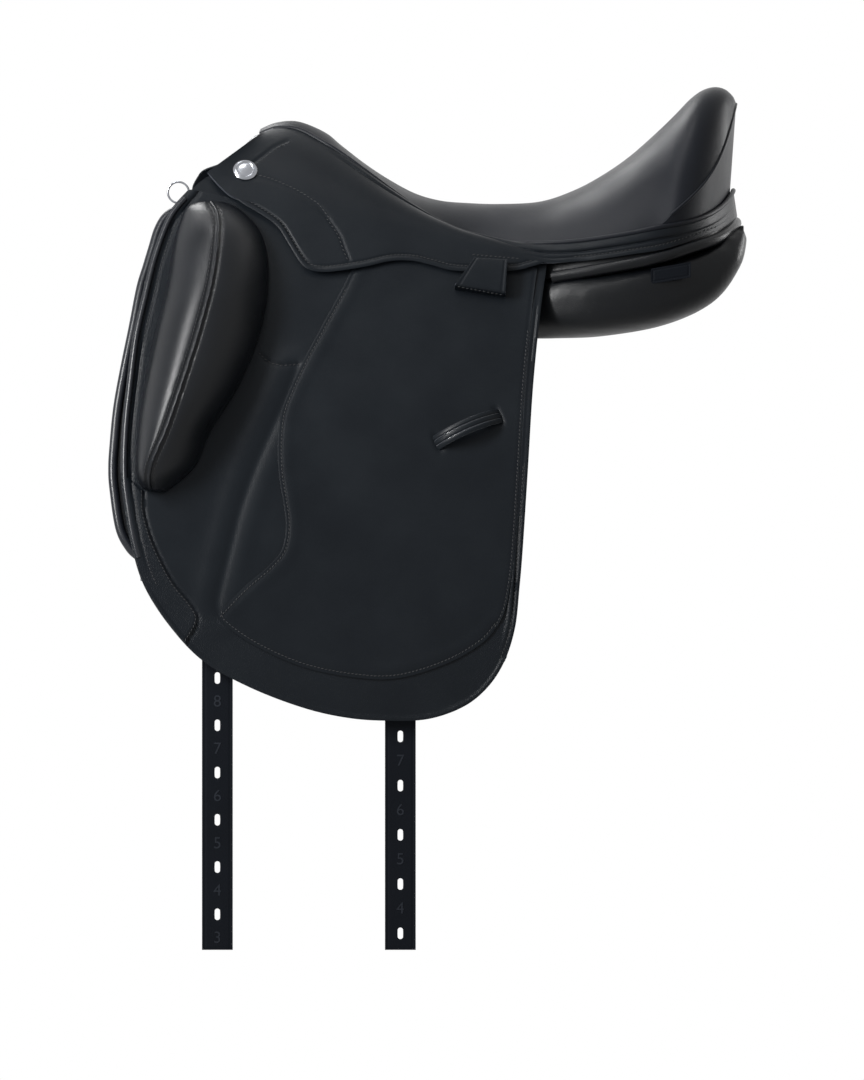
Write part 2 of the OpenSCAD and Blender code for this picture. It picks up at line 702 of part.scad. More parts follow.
// Lining of the channel: a roof with two walls that stand against the panels.
roof_line = curve([[195, 100], [130, 82], [70, 70], [10, 62], [-50, 58], [-110, 60], [-160, 70], [-200, 90],
    [-216, 108]], 3);
wall_line = curve([[195, 84], [130, 72], [70, 56], [10, 44], [-50, 36], [-110, 33], [-160, 42], [-200, 60],
    [-224, 86]], 3);
module channel_side(points, half) {
    translate([0, half, 0])
        rotate([90, 0, 0])
            linear_extrude(2 * half)
                polygon(points);
}

module channel_lining() {
    half = channel_w / 2 + 2.6;
    color("#2a2521")
        difference() {
            channel_side(concat(roof_line, reversed(wall_line)), half);
            channel_side(concat([for (p = roof_line) p - [0, lining_t]], [[-260, 108 - lining_t], [-260, 0],
                [260, 0], [260, 100 - lining_t]]), half - lining_t);
        }
}

// Ring for fastenings at the pommel, held in a leather chape.
ring_at = [274.5, 134.3];
ring_y = 82;
ring_r = (ring_d - wire_d) / 2;
hold = [-0.82, -0.58];
hold_at = ring_at + ring_r * hold;
module d_ring() {
    color("#c9ccd1")
        translate([ring_at.x, ring_y, ring_at.y])
            rotate([90, 0, 0])
                rotate_extrude($fn = 64)
                    translate([ring_r, 0])
                        circle(d = wire_d, $fn = 24);
}

module ring_chape() {
    color("#26282b")
        translate([hold_at.x, ring_y, hold_at.y])
            union() {
                rotate([0, 144.7, 0])
                    difference() {
                        translate([0, 0, -4])
                            cylinder(r = wire_d / 2 + 2.9, h = 8);
                        translate([0, 0, -20])
                            cylinder(r = wire_d / 2 + 1.2, h = 40);
                    }
                rotate([0, 164.45, 0])
                    translate([wire_d / 2 + 2.2, -1.5, -7])
                        cube([37.2, 3, 14]);
            }
}

// Round nail heads on the skirts, with shanks into the tree's head.
nail_row = mix(skirt_rows[1], skirt_rows[2], 0.42);
nail_p = skirt_at(nail_row[0], nail_row[1], 0.3, 0);
nail_n = [0.32, 0.8, 0.5];
module nail() {
    translate(nail_p)
        rotate([0, acos(nail_n.z / norm(nail_n)), atan2(nail_n.y, nail_n.x)])
            union() {
                translate([0, 0, -24])
                    cylinder(r = 1.8, h = 26);
                translate([0, 0, 1.2])
                    cylinder(d = nail_d, h = 1.6);
                translate([0, 0, 2.8])
                    cylinder(d1 = nail_d, d2 = nail_d * 0.7, h = 2.2);
            }
}

module head_nails() {
    color("#d4d7dc")
        both()
            nail();
}

module label_tab() {
    color("#1c1e22")
        translate([-192, 143.1, 50.5])
            cube([36, 1.2, 18]);
}

tree_frame();
tree_head();
gullet_plate();
head_rivets();
seat_webbing();
seat_foam();
seat_cover();
cantle_facing();
seat_welt();
skirt_upper();  // skirt_upper_left
far_side() skirt_upper();  // skirt_upper_right
head_nails();
stirrup_bar();  // stirrup_bar_left
far_side() stirrup_bar();  // stirrup_bar_right
bar_rivets();
catch_pins();
girth_web_rear();
girth_web_front();  // girth_web_front_left
far_side() girth_web_front();  // girth_web_front_right
sweat_flap();  // sweat_flap_left
far_side() sweat_flap();  // sweat_flap_right
sweat_roll();  // sweat_roll_left
far_side() sweat_roll();  // sweat_roll_right
panel();  // panel_left
far_side() panel();  // panel_right
panel_welt();
channel_lining();
ring_chape();  // ring_chape_left
far_side() ring_chape();  // ring_chape_right
label_tab();
flap();  // flap_left
far_side() flap();  // flap_right
flap_overlay();  // flap_overlay_left
far_side() flap_overlay();  // flap_overlay_right
thigh_block();  // thigh_block_left
far_side() thigh_block();  // thigh_block_right
flap_keeper();  // flap_keeper_left
far_side() flap_keeper();  // flap_keeper_right
skirt();  // skirt_left
far_side() skirt();  // skirt_right
skirt_keeper();  // skirt_keeper_left
far_side() skirt_keeper();  // skirt_keeper_right
front_billet();  // front_billet_left
far_side() front_billet();  // front_billet_right
rear_billet();  // rear_billet_left
far_side() rear_billet();  // rear_billet_right
catch();  // catch_left
far_side() catch();  // catch_right
d_ring();  // d_ring_left
far_side() d_ring();  // d_ring_right
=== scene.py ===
"""Dresses a dressage saddle: leather, padding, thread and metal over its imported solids."""
import json
import logging
import math
from dataclasses import dataclass
from enum import Enum
from typing import Any, Callable

import bpy
import numpy as np
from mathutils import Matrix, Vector
from mathutils.bvhtree import BVHTree

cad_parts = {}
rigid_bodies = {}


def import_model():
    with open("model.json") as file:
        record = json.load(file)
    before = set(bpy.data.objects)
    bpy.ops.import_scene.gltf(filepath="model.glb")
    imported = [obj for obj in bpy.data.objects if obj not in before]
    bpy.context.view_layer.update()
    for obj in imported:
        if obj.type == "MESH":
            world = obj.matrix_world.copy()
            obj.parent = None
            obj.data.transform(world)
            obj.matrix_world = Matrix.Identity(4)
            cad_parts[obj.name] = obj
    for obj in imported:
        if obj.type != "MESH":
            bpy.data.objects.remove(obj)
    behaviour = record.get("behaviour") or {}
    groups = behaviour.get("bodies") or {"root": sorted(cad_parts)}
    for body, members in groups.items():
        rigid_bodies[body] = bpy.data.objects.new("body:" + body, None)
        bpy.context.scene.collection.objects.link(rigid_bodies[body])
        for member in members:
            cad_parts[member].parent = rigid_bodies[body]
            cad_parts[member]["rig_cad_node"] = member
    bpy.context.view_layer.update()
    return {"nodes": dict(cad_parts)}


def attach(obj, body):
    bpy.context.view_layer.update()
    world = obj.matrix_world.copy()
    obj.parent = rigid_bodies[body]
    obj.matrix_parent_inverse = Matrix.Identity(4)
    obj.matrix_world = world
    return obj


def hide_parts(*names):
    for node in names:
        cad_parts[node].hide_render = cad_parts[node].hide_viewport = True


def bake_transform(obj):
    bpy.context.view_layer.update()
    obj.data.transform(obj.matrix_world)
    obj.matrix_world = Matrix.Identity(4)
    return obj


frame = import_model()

LOG = logging.getLogger("saddle")
MM = 0.001
# Width of one band of a wave texture at scale 1.
WAVE_BAND = 0.314
# Angle in degrees from which an edge counts as cut.
CUT_ANGLE = 50.0
# Distance in metres from which the left side is looked at.
FAR_LEFT = 0.4
Array = np.ndarray
Place = tuple[float, float]
Spot = tuple[float, float, float]
Thing = bpy.types.Object
Tree = bpy.types.NodeTree
Node = bpy.types.Node


class Side(Enum):
    """The two sides of the horse, as seen from the saddle."""

    LEFT = "left"
    RIGHT = "right"


# Colour and node helpers


def linear(code: str) -> tuple[float, float, float, float]:
    """Turns an sRGB hex colour into a linear one.

    Args:
        code: Colour such as "#1a2b3c".

    Returns:
        Red, green, blue and alpha.
    """
    parts = [int(code[i:i + 2], 16) / 255 for i in (1, 3, 5)]
    bent = [p / 12.92 if p <= 0.04045 else ((p + 0.055) / 1.055) ** 2.4 for p in parts]
    return (bent[0], bent[1], bent[2], 1.0)


def add_node(
    tree: Tree,
    kind: str,
    settings: dict[str, Any] | None = None,
    values: dict[str | int, Any] | None = None,
    links: dict[str | int, Any] | None = None,
) -> Node:
    """Adds a shader node with its settings and links.

    Args:
        tree: Node tree that takes the node.
        kind: Node type, without the words ShaderNode.
        settings: Properties of the node.
        values: Input values by input name or number.
        links: Output sockets by the input that they feed.

    Returns:
        The new node.
    """
    node = tree.nodes.new("ShaderNode" + kind)
    for key, value in (settings or {}).items():
        setattr(node, key, value)
    for key, value in (values or {}).items():
        node.inputs[key].default_value = value
    for key, source in (links or {}).items():
        tree.links.new(source, node.inputs[key])
    return node


def new_material(name: str) -> tuple[bpy.types.Material, Tree, Node]:
    """Starts a material with an empty Principled shader.

    Args:
        name: Name of the material.

    Returns:
        The material, its tree and its shader node.
    """
    material = bpy.data.materials.new(name)
    material.use_nodes = True
    tree = material.node_tree
    return material, tree, tree.nodes["Principled BSDF"]


# Finishes


@dataclass(frozen=True)
class Finish:
    """Surface of a real material, made once and shared by its pieces."""

    name: str

    def material(self) -> bpy.types.Material:
        """Makes the material once and returns it.

        Returns:
            The material of this name.
        """
        found = bpy.data.materials.get(self.name)
        if found:
            return found
        material, tree, shader = new_material(self.name)
        self.paint(tree, shader, add_node(tree, "TexCoord").outputs["Object"])
        return material

    def paint(self, tree: Tree, shader: Node, spot: Any) -> None:
        """Builds the look of the surface.

        Args:
            tree: Node tree of the material.
            shader: Its Principled shader.
            spot: Socket with the place on the piece.
        """
        raise NotImplementedError


@dataclass(frozen=True)
class Leather(Finish):
    """Tanned and dyed hide: a satin skin that breaks into fine creased grain."""

    base: str
    worn: str
    rough: float
    grain_mm: float
    relief_mm: float
    specular: float = 0.35
    coarse_mm: float = 0.0
    coarse_gain: float = 3.0
    cloud_mm: float = 55.0

    def paint(self, tree: Tree, shader: Node, spot: Any) -> None:
        """Builds the clouded dye, the grain and the satin shine.

        Args:
            tree: Node tree of the material.
            shader: Its Principled shader.
            spot: Socket with the place on the piece.
        """
        cloud = add_node(tree, "TexNoise", None, {"Scale": 1 / (self.cloud_mm * MM), "Detail": 3.0},
                         {"Vector": spot}).outputs["Fac"]
        height = self.grain(tree, spot, self.grain_mm)
        if self.coarse_mm:
            share = add_node(tree, "Attribute", {"attribute_name": "grain"}).outputs["Fac"]
            coarse = self.grain(tree, spot, self.coarse_mm)
            strong = add_node(tree, "Math", {"operation": "MULTIPLY"}, {1: self.coarse_gain},
                              {0: coarse}).outputs[0]
            mixed = add_node(tree, "Mix", None, None, {"Factor": share, "A": height, "B": strong})
            height = mixed.outputs["Result"]
        bump = add_node(tree, "Bump", None, {"Strength": 0.6, "Distance": self.relief_mm * MM},
                        {"Height": height})
        colour = add_node(tree, "Mix", {"data_type": "RGBA"},
                          {6: linear(self.base), 7: linear(self.worn)}, {0: cloud})
        ends = {"From Min": 0.3, "From Max": 0.7,
                "To Min": self.rough - 0.05, "To Max": self.rough + 0.06}
        gloss = add_node(tree, "MapRange", None, ends, {"Value": cloud})
        tree.links.new(colour.outputs[2], shader.inputs["Base Color"])
        tree.links.new(gloss.outputs["Result"], shader.inputs["Roughness"])
        tree.links.new(bump.outputs["Normal"], shader.inputs["Normal"])
        shader.inputs["Specular IOR Level"].default_value = self.specular

    def grain(self, tree: Tree, spot: Any, width_mm: float) -> Any:
        """Adds the height of the grain: pebbles between creases, with a finer roughness on them.

        Args:
            tree: Node tree of the material.
            spot: Socket with the place on the piece.
            width_mm: Width of one pebble of grain.

        Returns:
            Socket with the height.
        """
        per_m = 1 / (width_mm * MM)
        pebble = add_node(tree, "TexVoronoi", {"feature": "DISTANCE_TO_EDGE"}, {"Scale": per_m},
                          {"Vector": spot})
        crown = add_node(tree, "MapRange", {"interpolation_type": "SMOOTHSTEP"}, {"From Max": 0.28},
                         {"Value": pebble.outputs["Distance"]})
        fine = add_node(tree, "TexNoise", None, {"Scale": 2.2 * per_m, "Detail": 2.0},
                        {"Vector": spot})
        return add_node(tree, "Math", {"operation": "MULTIPLY_ADD"}, {1: 0.45},
                        {0: fine.outputs["Fac"], 2: crown.outputs["Result"]}).outputs[0]


@dataclass(frozen=True)
class Metal(Finish):
    """Worked metal: a clean mirror or a drawn surface with fine lines."""

    tone: str
    rough: float
    line_mm: float

    def paint(self, tree: Tree, shader: Node, spot: Any) -> None:
        """Builds the mirror and the fine lines that the tool left on it.

        Args:
            tree: Node tree of the material.
            shader: Its Principled shader.
            spot: Socket with the place on the piece.
        """
        drawn = add_node(tree, "Mapping", None, {"Scale": (0.08, 1.0, 1.0)}, {"Vector": spot})
        noise = add_node(tree, "TexNoise", None, {"Scale": 1 / (self.line_mm * MM), "Detail": 4.0},
                         {"Vector": drawn.outputs["Vector"]})
        lines = noise.outputs["Fac"]
        ends = {"From Min": 0.3, "From Max": 0.7,
                "To Min": self.rough * 0.7, "To Max": self.rough * 1.4}
        gloss = add_node(tree, "MapRange", None, ends, {"Value": lines})
        bump = add_node(tree, "Bump", None, {"Strength": 0.1, "Distance": 0.05 * MM},
                        {"Height": lines})
        tree.links.new(gloss.outputs["Result"], shader.inputs["Roughness"])
        tree.links.new(bump.outputs["Normal"], shader.inputs["Normal"])
        shader.inputs["Base Color"].default_value = linear(self.tone)
        shader.inputs["Metallic"].default_value = 1.0


@dataclass(frozen=True)
class Web(Finish):
    """Woven web or thread: crossing yarns that catch the light on their crowns."""

    warp: str
    weft: str
    yarn_mm: float

    def paint(self, tree: Tree, shader: Node, spot: Any) -> None:
        """Builds the weave from two sets of yarns that cross.

        Args:
            tree: Node tree of the material.
            shader: Its Principled shader.
            spot: Socket with the place on the piece.
        """
        waves = [add_node(tree, "TexWave", {"wave_type": "BANDS", "bands_direction": way},
                          {"Scale": WAVE_BAND / (self.yarn_mm * MM), "Distortion": 0.4},
                          {"Vector": spot})
                 for way in ("X", "DIAGONAL")]
        weave = add_node(tree, "Math", {"operation": "MULTIPLY"}, None,
                         {0: waves[0].outputs["Fac"], 1: waves[1].outputs["Fac"]}).outputs[0]
        colour = add_node(tree, "Mix", {"data_type": "RGBA"},
                          {6: linear(self.weft), 7: linear(self.warp)}, {0: weave})
        bump = add_node(tree, "Bump", None, {"Strength": 0.5, "Distance": self.yarn_mm * 0.3 * MM},
                        {"Height": weave})
        tree.links.new(colour.outputs[2], shader.inputs["Base Color"])
        tree.links.new(bump.outputs["Normal"], shader.inputs["Normal"])
        shader.inputs["Roughness"].default_value = 0.7


# Smooth calf: closed grain that only shows as a soft break in the highlight.
# The rows hold two dyes, roughness, width and depth of grain, and shine. The flap's last number is
# the width of the coarser grain on its border.
# Real calf grain is about 0.4 mm wide, too fine to show here, so it is drawn at about 1 mm.
SEAT_CALF = Leather("calf_leather_seat", "#0d0f13", "#121419", 0.38, 1.1, 0.05, 0.09)
FLAP_CALF = Leather("calf_leather_flap", "#080b0f", "#0d1115", 0.37, 1.0, 0.06, 0.095, 1.7)
BLOCK_CALF = Leather("calf_leather_padded", "#080a0d", "#0d0f13", 0.33, 1.1, 0.05, 0.19)
ROLL_CALF = Leather("calf_leather_rolled", "#0d0f13", "#14161b", 0.28, 1.1, 0.03, 0.26)
# The panel's calf is darker than the rest as painted shade, since the panels lie under the skirts
# and the roll.
PANEL_CALF_SHADED = Leather("calf_leather_panel", "#050609", "#090b0d", 0.33, 1.3, 0.08, 0.15)
# Bridle leather: stiff, close and flat, with little shine.
BRIDLE = Leather("bridle_leather_black", "#06080c", "#0a0d12", 0.55, 0.8, 0.05, 0.05)
# Cut edges are inked, waxed and rubbed, so they shine more than the skin.
# Their colour, lighter than the skin, is a painted highlight along the edges.
WAXED_EDGE_HIGHLIGHT = Leather("waxed_edge", "#34373d", "#43464c", 0.22, 0.9, 0.02, 0.9)
# Stamped numbers: the skin is pressed and inked, so it only just shows.
STAMPED = Leather("stamped_ink", "#15181d", "#1b1e23", 0.5, 0.8, 0.02, 0.08)
# Lining leather: matt, so that the inside of the head stays in the dark.
LINING = Leather("lining_leather_black", "#0a0909", "#100f0e", 0.6, 0.9, 0.06, 0.06)
# Waxed thread: a dull cord that only breaks the shine of the leather.
THREAD = Web("waxed_thread_black", "#15171a", "#0a0b0d", 0.4)
# Webs and cloth: coarse, matt and woven.
LINEN = Web("linen_web", "#9b8d70", "#6f6450", 1.2)
NYLON = Web("nylon_web_black", "#1c1c1d", "#0e0e0f", 1.0)
# The tree's scrim is near black as painted shade, so that where the tree shows through it reads as
# the dark inside of the saddle.
SCRIM_PAINTED_SHADE = Web("black_scrim_over_beech", "#16161a", "#0b0b0d", 0.7)
# Foam: pale open cells.
FOAM = Web("seat_foam_open_cell", "#c2ad5c", "#a08c44", 0.9)
# Plated steel is a bright mirror, drawn steel a dull one, and brass warms what it mirrors.
PLATED = Metal("nickel_plated_steel", "#8f9196", 0.2, 0.5)
DRAWN = Metal("drawn_steel", "#9a9da3", 0.32, 0.4)
BRASS = Metal("brass_rivet", "#b58d49", 0.3, 0.4)


# Curves and fields in millimetres


def curve(points: Any, steps: int = 8) -> Array:
    """Smooth line through points.

    Args:
        points: Places that the line passes.
        steps: Points on each span.

    Returns:
        Points of the line.
    """
    p = np.asarray(points, float)
    ends = np.vstack([p[:1], p, p[-1:]])
    t = np.linspace(0, 1, steps, endpoint=False)[:, None]
    spans = [0.5 * (2 * b + (c - a) * t + (2 * a - 5 * b + 4 * c - d) * t ** 2
                    + (3 * b - a - 3 * c + d) * t ** 3)
             for a, b, c, d in zip(ends[:-3], ends[1:-2], ends[2:-1], ends[3:])]
    return np.vstack([*spans, p[-1:]])


def run_of(line: Array) -> Array:
    """Length of a line up to each of its points."""
    return np.concatenate([[0.0], np.cumsum(np.linalg.norm(np.diff(line, axis=0), axis=1))])


def along(line: Array, share: Array) -> Array:
    """Places at shares of a line's length.

    Args:
        line: Points of the line.
        share: Shares from 0 to 1.

    Returns:
        One place for each share.
    """
    run = run_of(line)
    want = np.ravel(share) * run[-1]
    return np.stack([np.interp(want, run, line[:, k]) for k in range(line.shape[1])], axis=1)


def stations(rows: Any, share: Array) -> Array:
    """Smooth rows of sizes at shares of their count.

    Args:
        rows: Rows of sizes.
        share: Shares from 0 to 1.

    Returns:
        One row for each share.
    """
    fine = curve(rows, 8)
    want = np.ravel(share) * (len(fine) - 1)
    at = np.arange(len(fine))
    return np.stack([np.interp(want, at, fine[:, k]) for k in range(fine.shape[1])], axis=1)


def distance(places: Array, line: Array) -> Array:
    """Distance of side-view places from a line.

    Args:
        places: Side-view places.
        line: Points of the line.

    Returns:
        One distance for each place.
    """
    best = np.full(len(places), 1e9)
    for a, b in zip(line[:-1], line[1:]):
        d = b - a
        t = np.clip((places - a) @ d / max(d @ d, 1e-9), 0, 1)
        best = np.minimum(best, np.linalg.norm(places - a - t[:, None] * d, axis=1))
    return best


def inside(places: Array, ring: Array) -> Array:
    """Tells which side-view places lie inside a closed ring.

    Args:
        places: Side-view places.
        ring: Corners of the ring.

    Returns:
        True for each place that lies inside.
    """
    hits = np.zeros(len(places), int)
    for a, b in zip(ring, np.roll(ring, -1, axis=0)):
        if a[1] != b[1]:
            crosses = (a[1] > places[:, 1]) != (b[1] > places[:, 1])
            reach = a[0] + (places[:, 1] - a[1]) * (b[0] - a[0]) / (b[1] - a[1])
            hits += crosses & (places[:, 0] < reach)
    return hits % 2 == 1


def inset(line: Array, gap: float) -> Array:
    """Side-view line moved sideways by a distance.

    Args:
        line: Points of the line.
        gap: Distance to its right, or to its left below zero.

    Returns:
        Points of the moved line.
    """
    way = np.gradient(line, axis=0)
    way /= np.linalg.norm(way, axis=1)[:, None]
    return line + np.stack([way[:, 1], -way[:, 0]], axis=1) * gap


def round_back(left: Any) -> Array:
    """Carries a line of the left side round the back of the saddle and along the right side."""
    line = np.asarray(left, float)
    return np.vstack([line, line[::-1][1:] * [1, -1, 1]])


def spread(places: Array, side: Array) -> Array:
    """Sends places of the left side to the side that a number's sign names."""
    return places * np.stack([np.ones(len(side)), np.sign(side), np.ones(len(side))], axis=1)


@dataclass(frozen=True)
class Bead:
    """A round bead along a line: its height, half width and distance from the line."""

    height: float
    half: float
    middle: float

    def at(self, gap: Array) -> Array:
        """Height of the bead at distances from the line."""
        return self.height * np.sqrt(np.maximum(0, 1 - ((gap - self.middle) / self.half) ** 2))


@dataclass(frozen=True)
class Groove:
    """A soft groove along a line: its depth, half width and distance from the line."""

    depth: float
    half: float
    middle: float = 0.0

    def at(self, gap: Array) -> Array:
        """Height of the groove, below zero, at distances from the line."""
        return -self.depth * np.exp(-((gap - self.middle) / self.half) ** 2)


def ease(low: float, high: float, value: Array) -> Array:
    """Smooth step from 0 at low to 1 at high, which may lie below it."""
    t = np.clip((value - low) / (high - low), 0, 1)
    return t * t * (3 - 2 * t)


@dataclass(frozen=True)
class Patch:
    """A side-view area between four edges, as a leather is cut."""

    rear: Array
    front: Array
    foot: Array
    top: Array
    rounds: int = 120

    def at(self, u: Array, v: Array) -> Array:
        """Places of a net over the area, evened out so that none lies outside it.

        Args:
            u: Shares from the rear edge to the front edge.
            v: Shares from the foot to the top.

        Returns:
            Side-view places.
        """
        corner = ((1 - u) * (1 - v) * self.foot[0] + u * (1 - v) * self.foot[-1]
                  + (1 - u) * v * self.top[0] + u * v * self.top[-1])
        places = ((1 - v) * along(self.foot, u) + v * along(self.top, u)
                  + (1 - u) * along(self.rear, v) + u * along(self.front, v) - corner)
        net = places.reshape(-1, len(np.unique(np.round(u, 6))), 2)
        for _ in range(self.rounds):
            net[1:-1, 1:-1] = (net[:-2, 1:-1] + net[2:, 1:-1] + net[1:-1, :-2] + net[1:-1, 2:]) / 4
        return net.reshape(-1, 2)


@dataclass(frozen=True)
class Drape:
    """The curve in which the flaps hang: an arc over the horse's side, plumb below it."""

    arc: float = 1070.0
    plumb_y: float = 200.0
    plumb_z: float = -340.0
    fold_front: Place = (265.0, 138.0)
    fold_rear: Place = (-62.0, 70.0)

    def lay(self, places: Array, rise: Array | float) -> Array:
        """Lays side-view places on a leather.

        Args:
            places: Places along and up the saddle.
            rise: Distance outside the flap's inner skin.

        Returns:
            Places in space on the left side.
        """
        up = np.maximum(places[:, 1] - self.plumb_z, 0)
        y = self.plumb_y - self.arc + np.sqrt((self.arc + rise) ** 2 - up ** 2)
        return np.stack([places[:, 0], y, places[:, 1]], axis=1)

    def fold(self, x: Array) -> Array:
        """Height of the line on which flap and skirt fold."""
        share = (x - self.fold_rear[0]) / (self.fold_front[0] - self.fold_rear[0])
        return self.fold_rear[1] + share * (self.fold_front[1] - self.fold_rear[1])


DRAPE = Drape()


# Bench work with operators


def pick(*pieces: Thing) -> None:
    """Selects these pieces alone and makes the first the active one.

    Args:
        pieces: Pieces to select.
    """
    if bpy.context.object and bpy.context.object.mode != "OBJECT":
        bpy.ops.object.mode_set(mode="OBJECT")
    bpy.ops.object.select_all(action="DESELECT")
    for piece in pieces:
        piece.select_set(True)
    bpy.context.view_layer.objects.active = pieces[0] if pieces else None


def read(piece: Thing) -> Array:
    """Places of a piece's points in millimetres.

    Args:
        piece: Piece with a mesh.

    Returns:
        One row for each point.
    """
    flat = np.empty(len(piece.data.vertices) * 3)
    piece.data.vertices.foreach_get("co", flat)
    return flat.reshape(-1, 3) / MM


def write(piece: Thing, places: Array) -> None:
    """Moves a piece's points to places in millimetres."""
    piece.data.vertices.foreach_set("co", np.ascontiguousarray(places * MM).ravel())
    piece.data.update()


def edit(piece: Thing, *steps: Callable[[], Any]) -> None:
    """Runs edit-mode steps on the whole of a piece.

    Args:
        piece: Piece to edit.
        steps: Calls to make, one after the other.
    """
    pick(piece)
    bpy.ops.object.mode_set(mode="EDIT")
    bpy.ops.mesh.select_all(action="SELECT")
    for step in steps:
        step()
    bpy.ops.object.mode_set(mode="OBJECT")


def weld(piece: Thing, mm: float = 0.001) -> None:
    """Joins points of a piece that lie together."""
    edit(piece, lambda: bpy.ops.mesh.remove_doubles(threshold=mm * MM))


def turn_out(piece: Thing) -> None:
    """Makes the faces of a closed piece point outwards."""
    edit(piece, lambda: bpy.ops.mesh.normals_make_consistent(inside=False))


def face(piece: Thing, way: Spot) -> None:
    """Turns an open sheet so that its faces look towards a direction.

    Args:
        piece: Open sheet.
        way: Direction.
    """
    normals = np.empty(len(piece.data.polygons) * 3)
    piece.data.polygons.foreach_get("normal", normals)
    if normals.reshape(-1, 3).mean(axis=0) @ np.asarray(way) < 0:
        edit(piece, bpy.ops.mesh.flip_normals)


def apply(piece: Thing, kind: str, **settings: Any) -> None:
    """Adds a modifier with its settings and applies it.

    Args:
        piece: Piece that takes the modifier.
        kind: Kind of modifier.
        settings: Its settings by name.
    """
    pick(piece)
    modifier = piece.modifiers.new(kind.lower(), kind)
    for key, value in settings.items():
        setattr(modifier, key, value)
    bpy.ops.object.modifier_apply(modifier=modifier.name)


def clip_corners(piece: Thing) -> None:
    """Takes away the corner points of a sheet whose outline runs on smoothly there.

    Args:
        piece: Sheet that was laid as a grid.
    """
    count = np.zeros(len(piece.data.vertices), int)
    ends = np.empty(len(piece.data.edges) * 2, int)
    piece.data.edges.foreach_get("vertices", ends)
    np.add.at(count, ends, 1)
    pick(piece)
    bpy.ops.object.mode_set(mode="EDIT")
    bpy.ops.mesh.select_all(action="DESELECT")
    bpy.ops.object.mode_set(mode="OBJECT")
    piece.data.vertices.foreach_set("select", count == 2)
    bpy.ops.object.mode_set(mode="EDIT")
    bpy.ops.mesh.dissolve_verts()
    bpy.ops.object.mode_set(mode="OBJECT")


def thicken(piece: Thing, mm: float, edge: int = 0) -> None:
    """Gives a sheet its thickness away from its faces, and its cut edge a finish of its own.

    Args:
        piece: Sheet with its faces outwards.
        mm: Thickness.
        edge: Number of the edge's finish.
    """
    while len(piece.data.materials) <= edge:
        piece.data.materials.append(None)
    apply(piece, "SOLIDIFY", thickness=mm * MM, offset=-1.0, material_offset_rim=edge)


def round_edges(piece: Thing, mm: float, segments: int = 3, finish: int = -1) -> None:
    """Rounds the sharp edges of a piece, which may take a finish of their own."""
    apply(piece, "BEVEL", width=mm * MM, segments=segments, limit_method="ANGLE",
          angle_limit=math.radians(CUT_ANGLE), material=finish)


def smooth(piece: Thing, degrees: float = 55.0) -> None:
    """Shades a piece smooth, apart from edges sharper than an angle."""
    pick(piece)
    bpy.ops.object.shade_smooth_by_angle(angle=math.radians(degrees))


def cut(piece: Thing, mm: float, edge: int = 0, bevel: float = 0.0, rim: int = -1) -> Thing:
    """Gives a laid sheet its thickness, rounds its edges and shades it.

    Args:
        piece: Sheet with its faces outwards.
        mm: Thickness.
        edge: Finish of the cut edge.
        bevel: Rounding of the edges, or 0.
        rim: Finish of the rounding.

    Returns:
        The same piece.
    """
    thicken(piece, mm, edge)
    if bevel:
        round_edges(piece, bevel, finish=rim)
    smooth(piece)
    return piece


def laid_grid(name: str, cells: tuple[int, int], place: Callable[[Array, Array], Array],
              way: Spot) -> Thing:
    """Adds a grid and moves its points to their places on a leather.

    Args:
        name: Name of the piece.
        cells: Cells each way.
        place: Gives the places for shares each way.
        way: Direction towards which the faces look.

    Returns:
        The new sheet.
    """
    pick()
    bpy.ops.mesh.primitive_grid_add(x_subdivisions=cells[0], y_subdivisions=cells[1], size=2.0)
    piece = bpy.context.object
    piece.name = piece.data.name = name
    flat = read(piece) * MM
    write(piece, place((flat[:, 0:1] + 1) / 2, (flat[:, 1:2] + 1) / 2))
    face(piece, way)
    return piece


def piping(name: str, path: Array, radius: float, sides: int = 3) -> Thing:
    """Makes a round cord of leather along a path.

    Args:
        name: Name of the piece.
        path: Points in space.
        radius: Radius of the piping.
        sides: Roundness of the piping.

    Returns:
        The piping as a mesh.
    """
    pick()
    bpy.ops.curve.primitive_nurbs_path_add()
    piece = bpy.context.object
    piece.name = piece.data.name = name
    piece.data.splines.clear()
    line = piece.data.splines.new("POLY")
    line.points.add(len(path) - 1)
    line.points.foreach_set("co", np.hstack([path * MM, np.ones((len(path), 1))]).ravel())
    piece.data.bevel_depth = radius * MM
    piece.data.bevel_resolution = sides
    piece.data.use_fill_caps = True
    bpy.ops.object.convert(target="MESH")
    piece = bpy.context.object
    weld(piece)
    turn_out(piece)
    smooth(piece)
    return piece


def cast(piece: Thing, views: Array) -> list[tuple[Vector | None, Vector | None]]:
    """Finds the outer skin of a left-hand piece at side-view places.

    Args:
        piece: Piece that is looked at.
        views: Side-view places.

    Returns:
        Place and normal at each view, in metres, or None where there is no skin.
    """
    mesh = piece.data
    tree = BVHTree.FromPolygons([v.co for v in mesh.vertices], [p.vertices for p in mesh.polygons])
    way = Vector((0, -1, 0))
    return [tree.ray_cast(Vector((x * MM, FAR_LEFT, z * MM)), way)[:2] for x, z in views]


